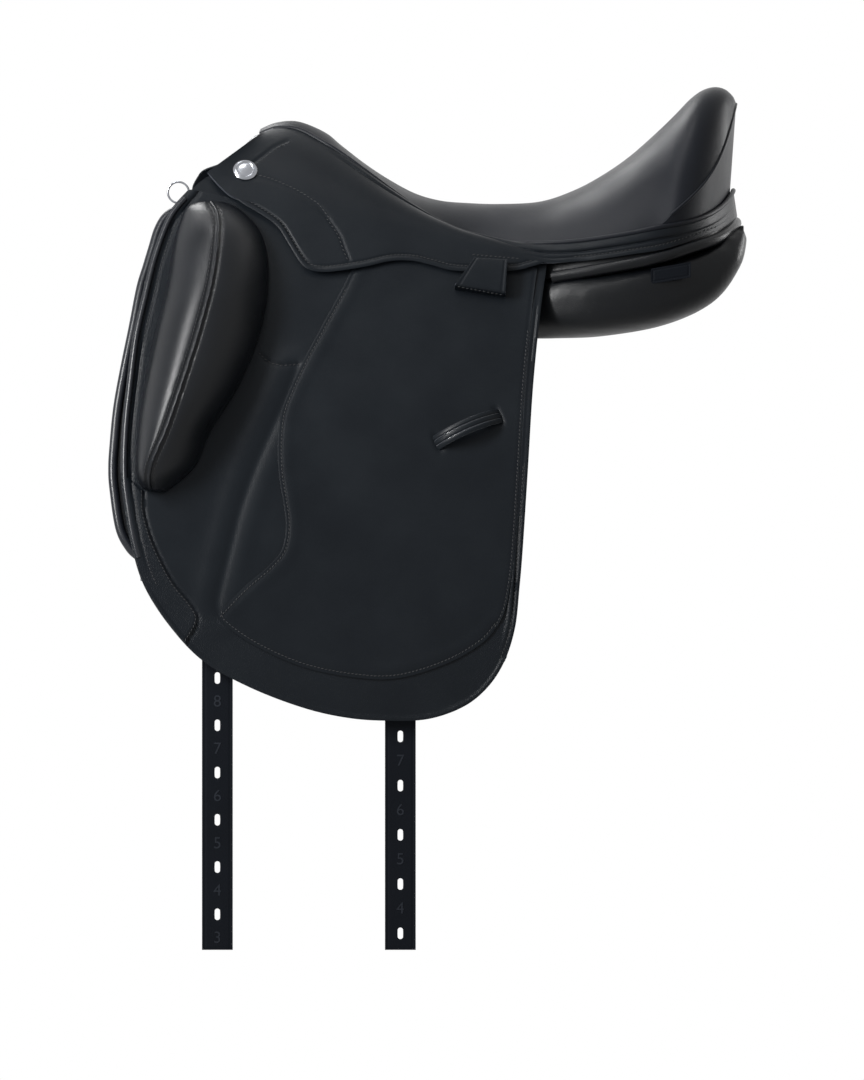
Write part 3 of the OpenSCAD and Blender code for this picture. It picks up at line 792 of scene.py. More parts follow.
@dataclass(frozen=True)
class Stitching:
    """Saddle stitch in waxed thread, sunk into the leather and leaning along its line."""

    pitch: float = 3.4
    length: float = 2.7
    width: float = 0.85
    lean: float = 0.25
    rise: float = 0.12

    def sew(self, name: str, ground: Thing, lines: list[Array]) -> Thing:
        """Sews lines that are given in side view onto the outer skin of a left-hand piece.

        Args:
            name: Name of the thread piece.
            ground: Piece that is sewn.
            lines: Side-view lines.

        Returns:
            All the stitches as one piece.
        """
        found: list[tuple[Vector, Vector, Vector]] = []
        for line in lines:
            count = max(2, int(run_of(line)[-1] / self.pitch))
            spots = along(line, np.linspace(0, 1, count))
            ways = np.gradient(spots, axis=0)
            for (hit, normal), (dx, dz) in zip(cast(ground, spots), ways):
                if hit is not None:
                    found.append((hit, normal, Vector((dx, 0, dz)).normalized()))
        return self.copies(name, found)

    def copies(self, name: str, found: list[tuple[Vector, Vector, Vector]]) -> Thing:
        """Copies one modelled stitch to every place.

        Args:
            name: Name of the thread piece.
            found: Place, normal and direction of each stitch, in metres.

        Returns:
            All the stitches as one piece.
        """
        pick()
        bpy.ops.mesh.primitive_uv_sphere_add(segments=6, ring_count=4, radius=1.0)
        model = bpy.context.object
        shape = np.array([v.co for v in model.data.vertices])
        faces = [tuple(p.vertices) for p in model.data.polygons]
        bpy.data.objects.remove(model)
        points: list[Array] = []
        polygons: list[tuple[int, ...]] = []
        for hit, normal, way in found:
            flat = (way - normal * way.dot(normal)).normalized()
            side = normal.cross(flat)
            flat = (flat + side * self.lean).normalized()
            side = normal.cross(flat)
            base = len(points) * len(shape)
            half = self.width / 2 * MM
            axes = np.array([flat * self.length / 2 * MM, side * half, normal * half])
            points.append(shape[:, [2, 0, 1]] @ axes + np.array(hit + normal * self.rise * MM))
            polygons.extend(tuple(base + i for i in f) for f in faces)
        mesh = bpy.data.meshes.new(name)
        mesh.from_pydata(np.vstack(points).tolist(), [], polygons)
        piece = bpy.data.objects.new(name, mesh)
        bpy.context.scene.collection.objects.link(piece)
        turn_out(piece)
        smooth(piece, 80)
        return piece


STITCH = Stitching()


@dataclass(frozen=True)
class Stuffing:
    """Wool or foam that swells a sewn cover from inside until the leather holds it."""

    voxel: float = 5.0
    pressure: float = 4.0
    frames: int = 20
    cap: float = 4.0

    def swell(self, piece: Thing) -> None:
        """Runs the cover as a cloth under pressure and keeps the shape that it takes.

        Args:
            piece: Closed cover, a little smaller than it ends.
        """
        pick(piece)
        piece.data.remesh_voxel_size = self.voxel * MM
        bpy.ops.object.voxel_remesh()
        start = read(piece)
        cloth = piece.modifiers.new("swell", "CLOTH")
        cloth.settings.use_pressure = True
        cloth.settings.uniform_pressure_force = self.pressure
        cloth.settings.effector_weights.gravity = 0.0
        scene = bpy.context.scene
        for number in range(1, self.frames + 1):
            scene.frame_set(number)
        shown = piece.evaluated_get(bpy.context.evaluated_depsgraph_get())
        flat = np.empty(len(shown.data.vertices) * 3)
        shown.data.vertices.foreach_get("co", flat)
        moved = flat.reshape(-1, 3) / MM - start
        reach = np.linalg.norm(moved, axis=1)[:, None]
        piece.modifiers.remove(cloth)
        scene.frame_set(1)
        write(piece, start + moved * np.minimum(1, self.cap / np.maximum(reach, 1e-6)))
        apply(piece, "SUBSURF", levels=1, render_levels=1)
        LOG.info("%s swells by %.1f mm", piece.name, float(np.minimum(reach, self.cap).mean()))


def twin(piece: Thing) -> Thing:
    """Copies a left-hand piece to the right side.

    Args:
        piece: Piece whose name ends in left.

    Returns:
        The right-hand piece, with its own mesh.
    """
    pick(piece)
    bpy.ops.object.duplicate()
    other = bpy.context.object
    other.name = other.data.name = piece.name.replace(Side.LEFT.value, Side.RIGHT.value)
    write(other, read(other) * np.array([1.0, -1.0, 1.0]))
    edit(other, bpy.ops.mesh.flip_normals)
    return other


def dress(piece: Thing, slot: str, *finishes: Finish) -> Thing:
    """Gives a piece its finishes.

    Args:
        piece: The piece.
        slot: Material slot of the record; not used.
        finishes: Finish of the skin, then of any further face group.

    Returns:
        The same piece.
    """
    slots = piece.data.materials
    while len(slots) > len(finishes):
        slots.pop()
    for i, finish in enumerate(finishes):
        if i < len(slots):
            slots[i] = finish.material()
        else:
            slots.append(finish.material())
    return piece


def settle(piece: Thing, body: str, *nodes: str) -> Thing:
    """Lets a piece ride on a body and stand for its solids.

    Args:
        piece: The piece.
        body: Body that carries it.
        nodes: Solids that it stands for.

    Returns:
        The same piece.
    """
    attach(piece, body)
    if nodes:
        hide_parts(*nodes)
    LOG.info("%s rides on %s", piece.name, body)
    return piece


def settle_pair(piece: Thing, slot: str, body: str, node: str | None,
                *finishes: Finish) -> tuple[Thing, Thing]:
    """Dresses a left-hand piece and its twin, and settles both.

    Args:
        piece: Left-hand piece.
        slot: Material slot of the record.
        body: Body, with {} where the side's name goes.
        node: Solid that the piece stands for, with {} for the side, or None.
        finishes: Finishes of the piece.

    Returns:
        The two pieces.
    """
    dress(piece, slot, *finishes)
    pair = (piece, twin(piece))
    for one, side in zip(pair, Side):
        settle(one, body.format(side.value), *([node.format(side.value)] if node else []))
    return pair


# The saddle's sub-assemblies


@dataclass
class Seat:
    """Seat leather over its foam, the cantle's back and the piping round both."""

    cover_t: float = 2.5
    cover_edge_r: float = 0.8
    foam_t: float = 12.0
    foam_under: float = 4.5
    back_t: float = 2.2
    bead_r: float = 1.3
    bead_turn: float = 80.0
    bow: float = 2.5
    bow_gain: float = 0.3
    bow_reach: float = 150.0
    foam_from: float = 0.03
    foam_share: float = 0.9
    back_turn: float = 88.0
    under_rim: float = 1.5
    rim_foot: float = 103.7
    rim_rise: float = 111.0
    rim_even: float = 0.55
    rim_power: float = 5.5
    back_foot: tuple[float, float, float] = (-161.0, 66.0, 135.0)
    back_rise: tuple[float, float, float] = (100.0, 28.0, 2.2)
    rim: tuple[float, float, float] = (-162.0, 71.0, 135.0)
    rows: tuple[tuple[float, ...], ...] = (
        (200, 192, 18, 187.5), (185, 198, 24, 193), (165, 198.8, 30, 191.5), (141, 189, 42.5, 179),
        (126, 177, 48.5, 169.5), (104, 160, 58.5, 153.5), (81, 145, 66.5, 136.5),
        (58, 133, 73.5, 120), (35.5, 126.8, 80.5, 105), (13, 124.8, 88.5, 94.5),
        (-17, 123.8, 99.5, 89.2), (-54.6, 126, 114, 88.3), (-85, 136, 123, 90),
        (-110.6, 149.5, 129, 93.1), (-136, 167, 133, 97), (-161, 189, 134.5, 102.3))
    rim_rows: tuple[tuple[float, ...], ...] = (
        (-178, 205.5, 117.5), (-191, 219, 129), (-202, 227, 140.2), (-213, 230.2, 155.6),
        (-222.6, 228.3, 176.7), (-229.5, 222.5, 199.6), (-232.2, 217.5, 211),
        (-232.97, 214.8, 214.5))

    def rim_z(self, share: Array) -> Array:
        """Height of the cantle's rim by its share of the way back."""
        curved = (1 - self.rim_even) * share ** self.rim_power
        return self.rim_foot + self.rim_rise * (self.rim_even * share + curved)

    def rim_y(self, x: float) -> float:
        """Half width of the cantle's rim at a place along the saddle."""
        middle, a, b = self.rim
        return b * math.sqrt(max(0.0, 1 - ((middle - x) / a) ** 2))

    def skin(self, u: Array, v: Array) -> Array:
        """Places on the seat, from pommel to cantle and from right to left.

        Args:
            u: Shares from pommel to cantle.
            v: Shares from right to left.

        Returns:
            Places in space.
        """
        rows = list(self.rows) + [(x, high, self.rim_y(x), low) for x, high, low in self.rim_rows]
        x, high, half, low = stations(rows, u).T
        s = np.ravel(v) * 2 - 1
        bow = self.bow + self.bow_gain * np.clip(-x / self.bow_reach, -1, 1)
        return np.stack([x, s * half, high - (high - low) * np.abs(s) ** bow], axis=1)

    def back_top(self, angle: Array) -> Array:
        """Places on the rim above the cantle's back.

        Args:
            angle: Angles from the middle of the rim.

        Returns:
            Places in space.
        """
        middle, a, b = self.rim
        back, side = np.cos(angle), np.sin(angle)
        return np.stack([middle - a * back, b * side, self.rim_z(back)], axis=1)

    def back(self, u: Array, v: Array) -> Array:
        """Places on the cantle's back, round it and up it.

        Args:
            u: Shares round the back.
            v: Shares from its foot to the rim.

        Returns:
            Places in space.
        """
        angle = np.radians(-self.back_turn + 2 * self.back_turn * np.ravel(u))
        middle, a, b = self.back_foot
        base, rise, power = self.back_rise
        z = base + rise * np.cos(angle) ** power
        low = np.stack([middle - a * np.cos(angle), b * np.sin(angle), z], axis=1)
        share = np.ravel(v)[:, None]
        return low + (self.back_top(angle) - [0, 0, self.under_rim] - low) * share

    def core(self, u: Array, v: Array) -> Array:
        """Places on the top of the foam, a little inside the leather."""
        u, v = self.foam_from + self.foam_share * u, 0.5 + self.foam_share * (v - 0.5)
        return self.skin(u, v) - [0, 0, self.foam_under]

    def build(self) -> None:
        """Models the seat and its trim."""
        foam = cut(laid_grid("seat_foam_core", (80, 50), self.core, (0, 0, 1)), self.foam_t)
        settle(dress(foam, "foam", FOAM), "tree", "seat_foam")
        cover = cut(laid_grid("seat_leather", (150, 100), self.skin, (0, 0, 1)), self.cover_t,
                    bevel=self.cover_edge_r)
        settle(dress(cover, "leather", SEAT_CALF), "tree", "seat_cover")
        back = cut(laid_grid("cantle_back", (80, 16), self.back, (-1, 0, 0)), self.back_t)
        settle(dress(back, "leather", SEAT_CALF), "tree", "cantle_facing")
        turns = np.radians(np.linspace(-self.bead_turn, self.bead_turn, 90))
        rim = piping("cantle_rim_bead", self.back_top(turns), self.bead_r)
        settle(dress(rim, "leather", SEAT_CALF), "tree")


@dataclass
class HeadFacing:
    """Leather that closes the saddle's head between the skirts and the steel arch."""

    arch_at: Spot = (205.0, 0.0, 118.0)
    ahead: float = 16.0
    splay: float = 30.0
    point: float = 60.0
    lining_r: float = 56.0
    low_rim: tuple[Spot, ...] = (
        (251.5, 83.5, 155), (257.5, 84, 148), (261.5, 85, 139.5), (262, 88, 128), (262, 91, 118))
    channel: tuple[Spot, ...] = ((194, 0, 99), (194, 34, 99), (194, 34.6, 84))
    gusset_front: tuple[Place, ...] = (
        (262.5, 118), (262.5, 130), (261.5, 140.5), (256.5, 149), (250, 154.5))
    gusset_rear: tuple[Place, ...] = ((226, 122), (230, 138), (234, 152))
    gusset_rise: float = -0.5
    top: Spot = (201.0, 0.0, 190.5)
    under_skirt: float = 2.0
    rim_shares: Place = (0.98, 0.12)
    crown: float = 5.0
    lined: float = 0.8
    facing_t: float = 1.8
    lining_t: float = 1.4
    gusset_t: float = 2.0
    gusset_edge_r: float = 0.6

    def rim(self) -> Array:
        """Places along the outer edge: inside the skirt's front edge, then down the gusset's.

        Returns:
            Places in space.
        """
        v = np.linspace(*self.rim_shares, 8)[:, None]
        spots, out, _ = Skirt().section(np.zeros_like(v), v)
        return curve(np.vstack([[self.top], spots - out * self.under_skirt, self.low_rim]))

    def arch(self, radius: float, ahead: float) -> Array:
        """Places along the arch, from its top to the end of its left point.

        Args:
            radius: Radius of the arch.
            ahead: Distance in front of its middle.

        Returns:
            Places in space.
        """
        turn = np.radians(np.linspace(90, self.splay, 16))
        across, up = radius * np.cos(turn), radius * np.sin(turn)
        run = np.linspace(0, self.point, 10)[1:]
        lean = math.radians(self.splay)
        across = np.concatenate([across, across[-1] + run * math.sin(lean)])
        up = np.concatenate([up, up[-1] - run * math.cos(lean)])
        root = math.sqrt(0.5)
        x, y, z = self.arch_at
        return np.stack([x + root * (ahead - up), y + across, z + root * (ahead + up)], axis=1)

    def skin(self, u: Array, v: Array) -> Array:
        """Places on the facing, from the right point over the top to the left one.

        Args:
            u: Shares from the right point to the left.
            v: Shares from arch to rim.

        Returns:
            Places in space.
        """
        s = np.ravel(u) * 2 - 1
        share = np.ravel(v)[:, None]
        inner = along(self.arch(self.lining_r, self.ahead), np.abs(s))
        outer = along(self.rim(), np.abs(s))
        spot = inner + (outer - inner) * share
        spot[:, 0] += self.crown * np.sin(np.pi * share[:, 0])
        return spread(spot, s)

    def under(self, u: Array, v: Array) -> Array:
        """Places on the lining under the arch, from its front edge back to the channel's roof.

        Args:
            u: Shares from the right point to the left.
            v: Shares from front to back.

        Returns:
            Places in space.
        """
        s, share = np.ravel(u) * 2 - 1, np.ravel(v)[:, None]
        front = along(self.arch(self.lining_r, self.ahead), self.lined * np.abs(s))
        back = along(self.arch(self.lining_r, -self.ahead), self.lined * np.abs(s))
        far = along(np.array(self.channel, float), np.abs(s))
        spot = front + (back - front) * np.minimum(2 * share, 1)
        spot += (far - back) * np.maximum(2 * share - 1, 0)
        return spread(spot, s)

    def gusset(self, u: Array, v: Array) -> Array:
        """Places on the leather under the skirt's front tip, in line with the flap's front band.

        Args:
            u: Shares from rear to front.
            v: Shares from foot to top.

        Returns:
            Places in space.
        """
        rear, front = np.array(self.gusset_rear, float), curve(self.gusset_front)
        patch = Patch(rear, front, np.array([rear[0], front[0]]), np.array([rear[-1], front[-1]]))
        return DRAPE.lay(patch.at(u, v), self.gusset_rise)

    def build(self) -> None:
        """Models the facing, the lining and the gussets."""
        facing = cut(laid_grid("head_facing", (120, 14), self.skin, (1, 0, 0)), self.facing_t)
        settle(dress(facing, "leather", FLAP_CALF), "tree")
        lining = cut(laid_grid("head_lining", (100, 24), self.under, (0, 0, -1)), self.lining_t)
        settle(dress(lining, "lining_leather", LINING), "tree")
        gusset = cut(laid_grid("head_gusset_left", (30, 30), self.gusset, (0, 1, 0)), self.gusset_t,
                     bevel=self.gusset_edge_r)
        settle_pair(gusset, "flap_leather", "tree", None, FLAP_CALF)


@dataclass
class Skirt:
    """The leather from the seat's piping over the stirrup bar, laid in an upper and a lower half.
    """

    rise: float = 10.5
    thick: float = 3.5
    piping_r: float = 2.2
    piping_gap: float = 0.6
    piping_off: Place = (1.2, -0.5)
    edge_r: float = 1.7
    fold_room: float = 22.0
    fold_at: float = 90.0
    past_middle: float = -1.6
    least_lean: float = 0.55
    least_drop: float = 0.2
    weld_mm: float = 0.02
    lean_fades: Place = (-90.0, -58.0)
    rear_fades: Place = (-70.0, -40.0)
    plump_fades: Place = (105.0, 150.0)
    patch_groove: Groove = Groove(0.9, 1.5)
    brow_groove: Groove = Groove(0.8, 1.4)
    top_bead: Bead = Bead(1.5, 5.0, 5.6)
    top_groove: Groove = Groove(1.1, 1.2, 11.0)
    rear_groove: Groove = Groove(0.8, 1.2, 4.5)
    rear_width: float = 19.0
    hem_bead: Bead = Bead(1.3, 2.5, 1.9)
    hem_groove: Groove = Groove(0.7, 1.2, 5.4)
    tops: tuple[Spot, ...] = (
        (200, 188, 20), (185, 193.5, 25), (165, 192, 31), (141, 179.5, 44), (126, 170, 50),
        (104, 154, 60), (81, 137, 68), (58, 120.5, 75), (35.5, 105.4, 82), (13, 94.8, 90),
        (-17, 89.5, 101), (-54.6, 88.6, 116), (-85, 90.2, 125), (-110.6, 93.4, 131),
        (-136, 97.5, 135), (-161, 102.6, 136.5), (-180, 106, 129), (-197, 110, 114),
        (-211, 116, 92), (-222, 124, 62), (-228.5, 132.5, 30), (-230.5, 136.5, -1.6))
    fold_x: tuple[float, ...] = (221, 180, 150, 115, 85, 58, 33, 8, -20, -58)
    front_feet: tuple[Spot, ...] = ((248, 153, 91), (236, 139.5, 97.6))
    rear_feet: tuple[Spot, ...] = (
        (-87, 71.5, 131), (-111, 74, 136), (-138, 78, 140), (-164, 82, 140.5), (-182, 87, 133),
        (-199, 93, 117), (-214, 98.5, 94), (-225.5, 104.5, 63), (-232, 110.5, 30),
        (-234, 112.5, -1.6))
    hem: tuple[Place, ...] = (
        (222, 129), (214, 123), (197, 113), (184, 103), (175.6, 90), (169, 79), (162, 69),
        (155, 64), (144, 62), (129, 63), (104, 67), (81, 72), (61, 72), (43, 68), (21, 63),
        (-27, 63), (-47, 67), (-58, 70.6))
    patch_seam: tuple[Place, ...] = (
        (206, 149), (188.4, 144), (169, 135.7), (155, 127.4), (145.6, 120.4), (136.5, 108.3),
        (127.4, 94.6), (122.9, 82.8), (119, 73))
    brow_seam: tuple[Place, ...] = ((208, 160), (196.8, 168.4), (187, 176), (174.7, 181.6))
    slot_seam: tuple[Place, Place] = ((5.7, 77.6), (-34.0, 74.2))
    patch_thread: tuple[Place, Place] = ((0.6, 2.4), (2.2, 1.2))
    brow_thread: Place = (-1.6, -1.8)
    rear_thread: float = 4.5
    hem_thread: float = 5.0

    def feet(self) -> list[Spot]:
        """Foot of each row: place, height and half width.

        Returns:
            One row for each row of the tops.
        """
        x = np.array(self.fold_x)
        laid = DRAPE.lay(np.stack([x, DRAPE.fold(x)], axis=1), self.rise)
        return [*self.front_feet, *[(p[0], p[2], p[1]) for p in laid], *self.rear_feet]

    def section(self, u: Array, v: Array) -> tuple[Array, Array, Array]:
        """Places on the upper skirt, the direction out of it and the distance under the piping.

        Args:
            u: Shares from the pommel to the back.
            v: Shares from the foot to the piping.

        Returns:
            Places in space, unit vectors in the cross plane, and distances from the top.
        """
        rows = stations([(*t, *f) for t, f in zip(self.tops, self.feet())], u)
        top, foot = rows[:, :3], rows[:, 3:]
        lean = np.arcsin(np.clip((foot[:, 1] - DRAPE.plumb_z) / (DRAPE.arc + self.rise), 0, 1))
        lean = lean * ease(*self.lean_fades, foot[:, 0])
        up = np.stack([-np.sin(lean), np.cos(lean)], axis=1)
        low, high = foot[:, [2, 1]], top[:, [2, 1]]
        span = np.linalg.norm(high - low, axis=1)
        share = np.maximum(np.sum(up * (high - low), axis=1) / span, self.least_lean)
        bend = low + up * (span / 2 / share)[:, None]
        t = np.ravel(v)[:, None] * (1 - (self.piping_r + self.piping_gap) / span)[:, None]
        p = low * (1 - t) ** 2 + bend * 2 * t * (1 - t) + high * t ** 2
        way = (bend - low) * (1 - t) + (high - bend) * t
        way /= np.linalg.norm(way, axis=1)[:, None]
        rise = (p[:, 1] - foot[:, 1]) / (top[:, 1] - foot[:, 1])
        x = foot[:, 0] + (top[:, 0] - foot[:, 0]) * rise
        places = np.stack([x, np.maximum(p[:, 0], self.past_middle), p[:, 1]], axis=1)
        out = np.stack([np.zeros(len(p)), way[:, 1], -way[:, 0]], axis=1)
        return places, out, (1 - np.ravel(t)) * span

    def relief(self, places: Array) -> Array:
        """Height of the sewn patch and its seams at side-view places."""
        patch = self.patch_groove.at(distance(places, curve(self.patch_seam)))
        return patch + self.brow_groove.at(distance(places, curve(self.brow_seam)))

    def upper(self, u: Array, v: Array) -> Array:
        """Places on the upper skirt with its seams and the sunk line under the piping.

        Args:
            u: Shares from the pommel to the back.
            v: Shares from the foot to the piping.

        Returns:
            Places in space.
        """
        places, out, depth = self.section(u, v)
        rear = 1 - ease(*self.rear_fades, places[:, 0])
        plump = 1 - ease(*self.plump_fades, places[:, 0])
        lift = self.relief(places[:, [0, 2]])
        lift += plump * (self.top_bead.at(depth) + self.top_groove.at(depth))
        lift += rear * self.rear_groove.at(np.ravel(v) * self.rear_width)
        return places + out * lift[:, None]

    def lower(self, u: Array, v: Array) -> Array:
        """Places on the free half of the skirt, from its hem up to the fold.

        Args:
            u: Shares from front to rear.
            v: Shares from the hem to the fold.

        Returns:
            Places in space.
        """
        hem = along(curve(self.hem), u)
        high = np.maximum(DRAPE.fold(hem[:, 0]), hem[:, 1] + self.least_drop)
        fold = np.stack([hem[:, 0], high], axis=1)
        places = hem + (fold - hem) * np.ravel(v)[:, None]
        gap = distance(places, curve(self.hem))
        lift = self.relief(places) + self.hem_bead.at(gap) + self.hem_groove.at(gap)
        return DRAPE.lay(places, self.rise + lift)

    def blend(self, piece: Thing, bodies: tuple[str, str]) -> None:
        """Bakes a piece's placement into its mesh and logs the two bodies on either side of its
        fold.

        Args:
            piece: The piece.
            bodies: Body at each side of the fold, named in the log.
        """
        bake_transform(piece)
        LOG.info("%s bends between %s and %s", piece.name, *bodies)

    def build(self) -> None:
        """Models both skirts and the piping above them."""
        upper = laid_grid("skirt_top_leather_left", (260, 44), self.upper, (0, 1, 0.5))
        lower = laid_grid("skirt_leather_left", (240, 50), self.lower, (0, 1, 0))
        upper_thread = STITCH.sew("skirt_upper_thread_left", upper, self.upper_lines())
        lower_thread = STITCH.sew("skirt_lower_thread_left", lower, self.lower_lines())
        for piece in (upper, lower):
            thicken(piece, self.thick, 1)
            round_edges(piece, self.edge_r, 4, 1)
            weld(piece, self.weld_mm)
            smooth(piece)
        fixed = ("tree", "flap_{}"), (self.fold_room, 0.0)
        free = ("flap_{}", "skirt_{}"), (0.0, -self.fold_room)
        for piece, node, (bodies, span) in (
                (upper, "skirt_upper_{}", fixed), (upper_thread, None, fixed),
                (lower, "skirt_{}", free), (lower_thread, None, free)):
            dress(piece, "flap_leather", *((FLAP_CALF, WAXED_EDGE_HIGHLIGHT) if node else (THREAD,)))
            for one, side in zip((piece, twin(piece)), Side):
                if node:
                    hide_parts(node.format(side.value))
                self.blend(one, bodies)
        self.trim()

    def upper_lines(self) -> list[Array]:
        """Stitch lines on the upper skirt.

        Returns:
            Side-view lines.
        """
        rear = np.array([(f[0], f[1] + self.rear_thread) for f in self.rear_feet[:7]])
        return [curve(self.patch_seam)[:40] + self.patch_thread[0],
                curve(self.brow_seam) + self.brow_thread, curve(rear)]

    def lower_lines(self) -> list[Array]:
        """Stitch lines on the free half of the skirt.

        Returns:
            Side-view lines.
        """
        return [inset(curve(self.hem), self.hem_thread)[4:-6],
                curve(self.patch_seam)[40:] + self.patch_thread[1], np.array(self.slot_seam)]

    def trim(self) -> None:
        """Lays the piping between seat and skirt, round the back of the saddle."""
        out, up = self.piping_off
        left = np.array([(t[0], t[2] + out, t[1] + up) for t in self.tops])
        welt = piping("seat_piping", curve(round_back(left), 6), self.piping_r)
        settle(dress(welt, "leather", SEAT_CALF), "tree", "seat_welt")


@dataclass
class Flap:
    """The long flap: edge roll, sewn seams, the smooth overlay and the slots for the leather
    keeper.
    """

    thick: float = 5.0
    inner_gap: float = 0.9
    edge_r: float = 1.2
    over_rise: float = 6.6
    over_t: float = 1.3
    over_lift: float = 0.2
    over_thread: float = 3.2
    strip_thread: float = -2.2
    lead_thread: float = 10.8
    tail_thread: float = 4.4
    roll_r: float = 3.0
    roll_in: float = 0.6
    roll_rise: float = 0.4
    tail_top: Place = (20.0, 60.0)
    tail_foot: Place = (-290.0, -245.0)
    lead_foot: Place = (-222.0, -165.0)
    foot_top: Place = (-215.0, -250.0)
    plain_top: tuple[Place, ...] = ((-70, 70), (270, 140), (290, 60))
    keeper_ends: tuple[Place, Place] = ((38.5, -93.5), (-16.5, -69.0))
    keeper_turn: float = 23.7
    slot_half: tuple[float, float] = (3.2, 9.0)
    slot_depth: float = 1.6
    lead_bead: Bead = Bead(1.2, 4.4, 4.2)
    lead_groove: Groove = Groove(1.2, 1.3, 9.5)
    tail_beads: tuple[Bead, Bead] = (Bead(1.5, 2.4, 2.0), Bead(1.4, 2.4, 6.8))
    tail_groove: Groove = Groove(1.0, 0.8, 4.4)
    foot_bead: Bead = Bead(1.0, 2.4, 1.8)
    front_groove: Groove = Groove(0.9, 3.8)
    front_swell: Groove = Groove(-1.0, 9.0, 13.0)
    short_groove: Groove = Groove(1.6, 1.5)
    strip_groove: Groove = Groove(1.2, 1.4)
    strip_step: tuple[float, float] = (1.9, 2.2)
    over_edge: tuple[Groove, ...] = (
        Groove(-0.35, 5.0, 9.0), Groove(0.45, 1.1, 3.2), Groove(0.4, 0.9))
    over_rear: Groove = Groove(0.4, 1.5, 1.5)
    outline: tuple[Place, ...] = (
        (265, 137.4), (284.5, 114), (298.5, 78.4), (308.3, 39), (316.2, 3.6), (322, -42),
        (326, -81.4), (327, -120.8), (324, -150.5), (316.7, -190), (304.9, -225.7), (281.2, -262),
        (251, -293), (208.4, -316.7), (160.2, -335), (120, -344), (83.7, -346.5), (47.3, -345),
        (15.5, -334), (-6.4, -316.7), (-22, -293), (-31.9, -262), (-36, -225), (-39, -189),
        (-43.7, -116.5), (-48.2, -43.7), (-54.6, 22), (-61, 70.2))
    corners: tuple[int, int] = (10, 20)
    bend_seam: tuple[Place, ...] = (
        (112, 74), (118, 62), (125.6, 46.4), (136.7, 26), (147.8, 5.6), (162.7, -22.3),
        (173.8, -46.4), (181.3, -67), (184, -94.6), (183, -122.6), (179.3, -145.6), (176.8, -163.8),
        (177.6, -180), (181.6, -193), (193, -206), (215.8, -225.7), (238, -249))
    foot_seam: tuple[Place, ...] = (
        (-15.5, -261), (-2, -276), (29, -294), (72, -307.4), (110, -307.6), (160.5, -297.8),
        (206, -277.6), (233.7, -258), (238, -249))
    rear_seam: tuple[Place, ...] = (
        (-15.5, -261), (-22.5, -246), (-27, -225), (-31, -189), (-35.7, -116.5), (-40.2, -43.7),
        (-46.6, 22), (-52, 66))
    front_seam: tuple[Place, ...] = (
        (167, -26), (176, -50), (188, -77.4), (203.7, -112.8), (217.5, -151), (225.7, -181.6),
        (233.7, -214), (239.3, -238.4), (238, -249))
    short_seam: tuple[Place, ...] = ((200.7, -12.3), (192, -20), (180, -23), (165, -22))
    strip_seam: tuple[Place, ...] = (
        (305.9, -137.8), (305.2, -157), (297, -184.7), (280.8, -217.5), (264.5, -238.4),
        (257.3, -250), (258, -259.7), (266.2, -274))

    def edges(self) -> tuple[Array, Array, Array]:
        """Front edge, foot and rear edge of the flap, each from the front round to the rear.

        Returns:
            Three lines of side-view places.
        """
        line = curve(self.outline, 8)
        a, b = (8 * c for c in self.corners)
        return line[:a + 1], line[a:b + 1], line[b:]

    def patch(self) -> Patch:
        """Area of the flap."""
        front, foot, rear = self.edges()
        return Patch(rear, front[::-1], foot[::-1], np.array([rear[-1], front[0]]))

    def over_patch(self) -> Patch:
        """Area of the overlay.

        Returns:
            The area between its four seams.
        """
        front = curve(self.bend_seam)[::-1]
        rear = curve(self.rear_seam)
        return Patch(rear, front, curve(self.foot_seam), np.array([rear[-1], front[-1]]))

    def relief(self, places: Array) -> Array:
        """Height of the edge roll and the seams on the flap.

        Args:
            places: Side-view places.

        Returns:
            One height for each place.
        """
        front, foot, rear = self.edges()
        lead = distance(places, front)
        tail = distance(places, rear)
        round_foot = distance(places, foot)
        up = places[:, 1]
        fade = (1 - ease(*self.tail_top, up)) * ease(*self.tail_foot, up)
        roll = ease(*self.lead_foot, up)
        lift = roll * (self.lead_bead.at(lead) + self.lead_groove.at(lead))
        lift += fade * (sum(b.at(tail) for b in self.tail_beads) + self.tail_groove.at(tail))
        lift += self.foot_bead.at(round_foot) * ease(*self.foot_top, up)
        seam = distance(places, curve(self.front_seam))
        lift += self.front_groove.at(seam) + self.front_swell.at(seam)
        lift += self.short_groove.at(distance(places, curve(self.short_seam)))
        strip = distance(places, curve(self.strip_seam))
        ring = np.vstack([curve(self.strip_seam), foot[:13][::-1], front[56:][::-1]])
        ahead = inside(places, ring)
        height, width = self.strip_step
        lift += np.where(ahead, height * ease(0, width, strip), self.strip_groove.at(strip))
        return lift

    def skin(self, u: Array, v: Array) -> Array:
        """Places on the flap's outer skin."""
        places = self.patch().at(u, v)
        return DRAPE.lay(places, self.thick + self.relief(places))

    def over_skin(self, u: Array, v: Array) -> Array:
        """Places on the overlay, plump at its sewn edges.

        Args:
            u: Shares from rear to front.
            v: Shares from foot to top.

        Returns:
            Places in space.
        """
        places = self.over_patch().at(u, v)
        seams = np.vstack([curve(self.bend_seam), curve(self.foot_seam)[::-1]])
        gap = distance(places, seams)
        rear = distance(places, curve(self.rear_seam))
        lift = sum(g.at(gap) for g in self.over_edge) + self.over_rear.at(rear)
        lift -= self.slot_depth * self.slots(places)
        return DRAPE.lay(places, self.over_rise + self.over_lift + lift)

    def slots(self, places: Array) -> Array:
        """Depth from 0 to 1 of the two slots in which the keeper's ends are sewn.

        Args:
            places: Side-view places.

        Returns:
            One depth for each place.
        """
        depth = np.zeros(len(places))
        for x, z in self.keeper_ends:
            turn = math.radians(self.keeper_turn)
            away = places - [x, z]
            across = away[:, 0] * math.cos(turn) - away[:, 1] * math.sin(turn)
            up = away[:, 0] * math.sin(turn) + away[:, 1] * math.cos(turn)
            wide, high = self.slot_half
            depth += np.exp(-(across / wide) ** 4 - (up / high) ** 4)
        return depth

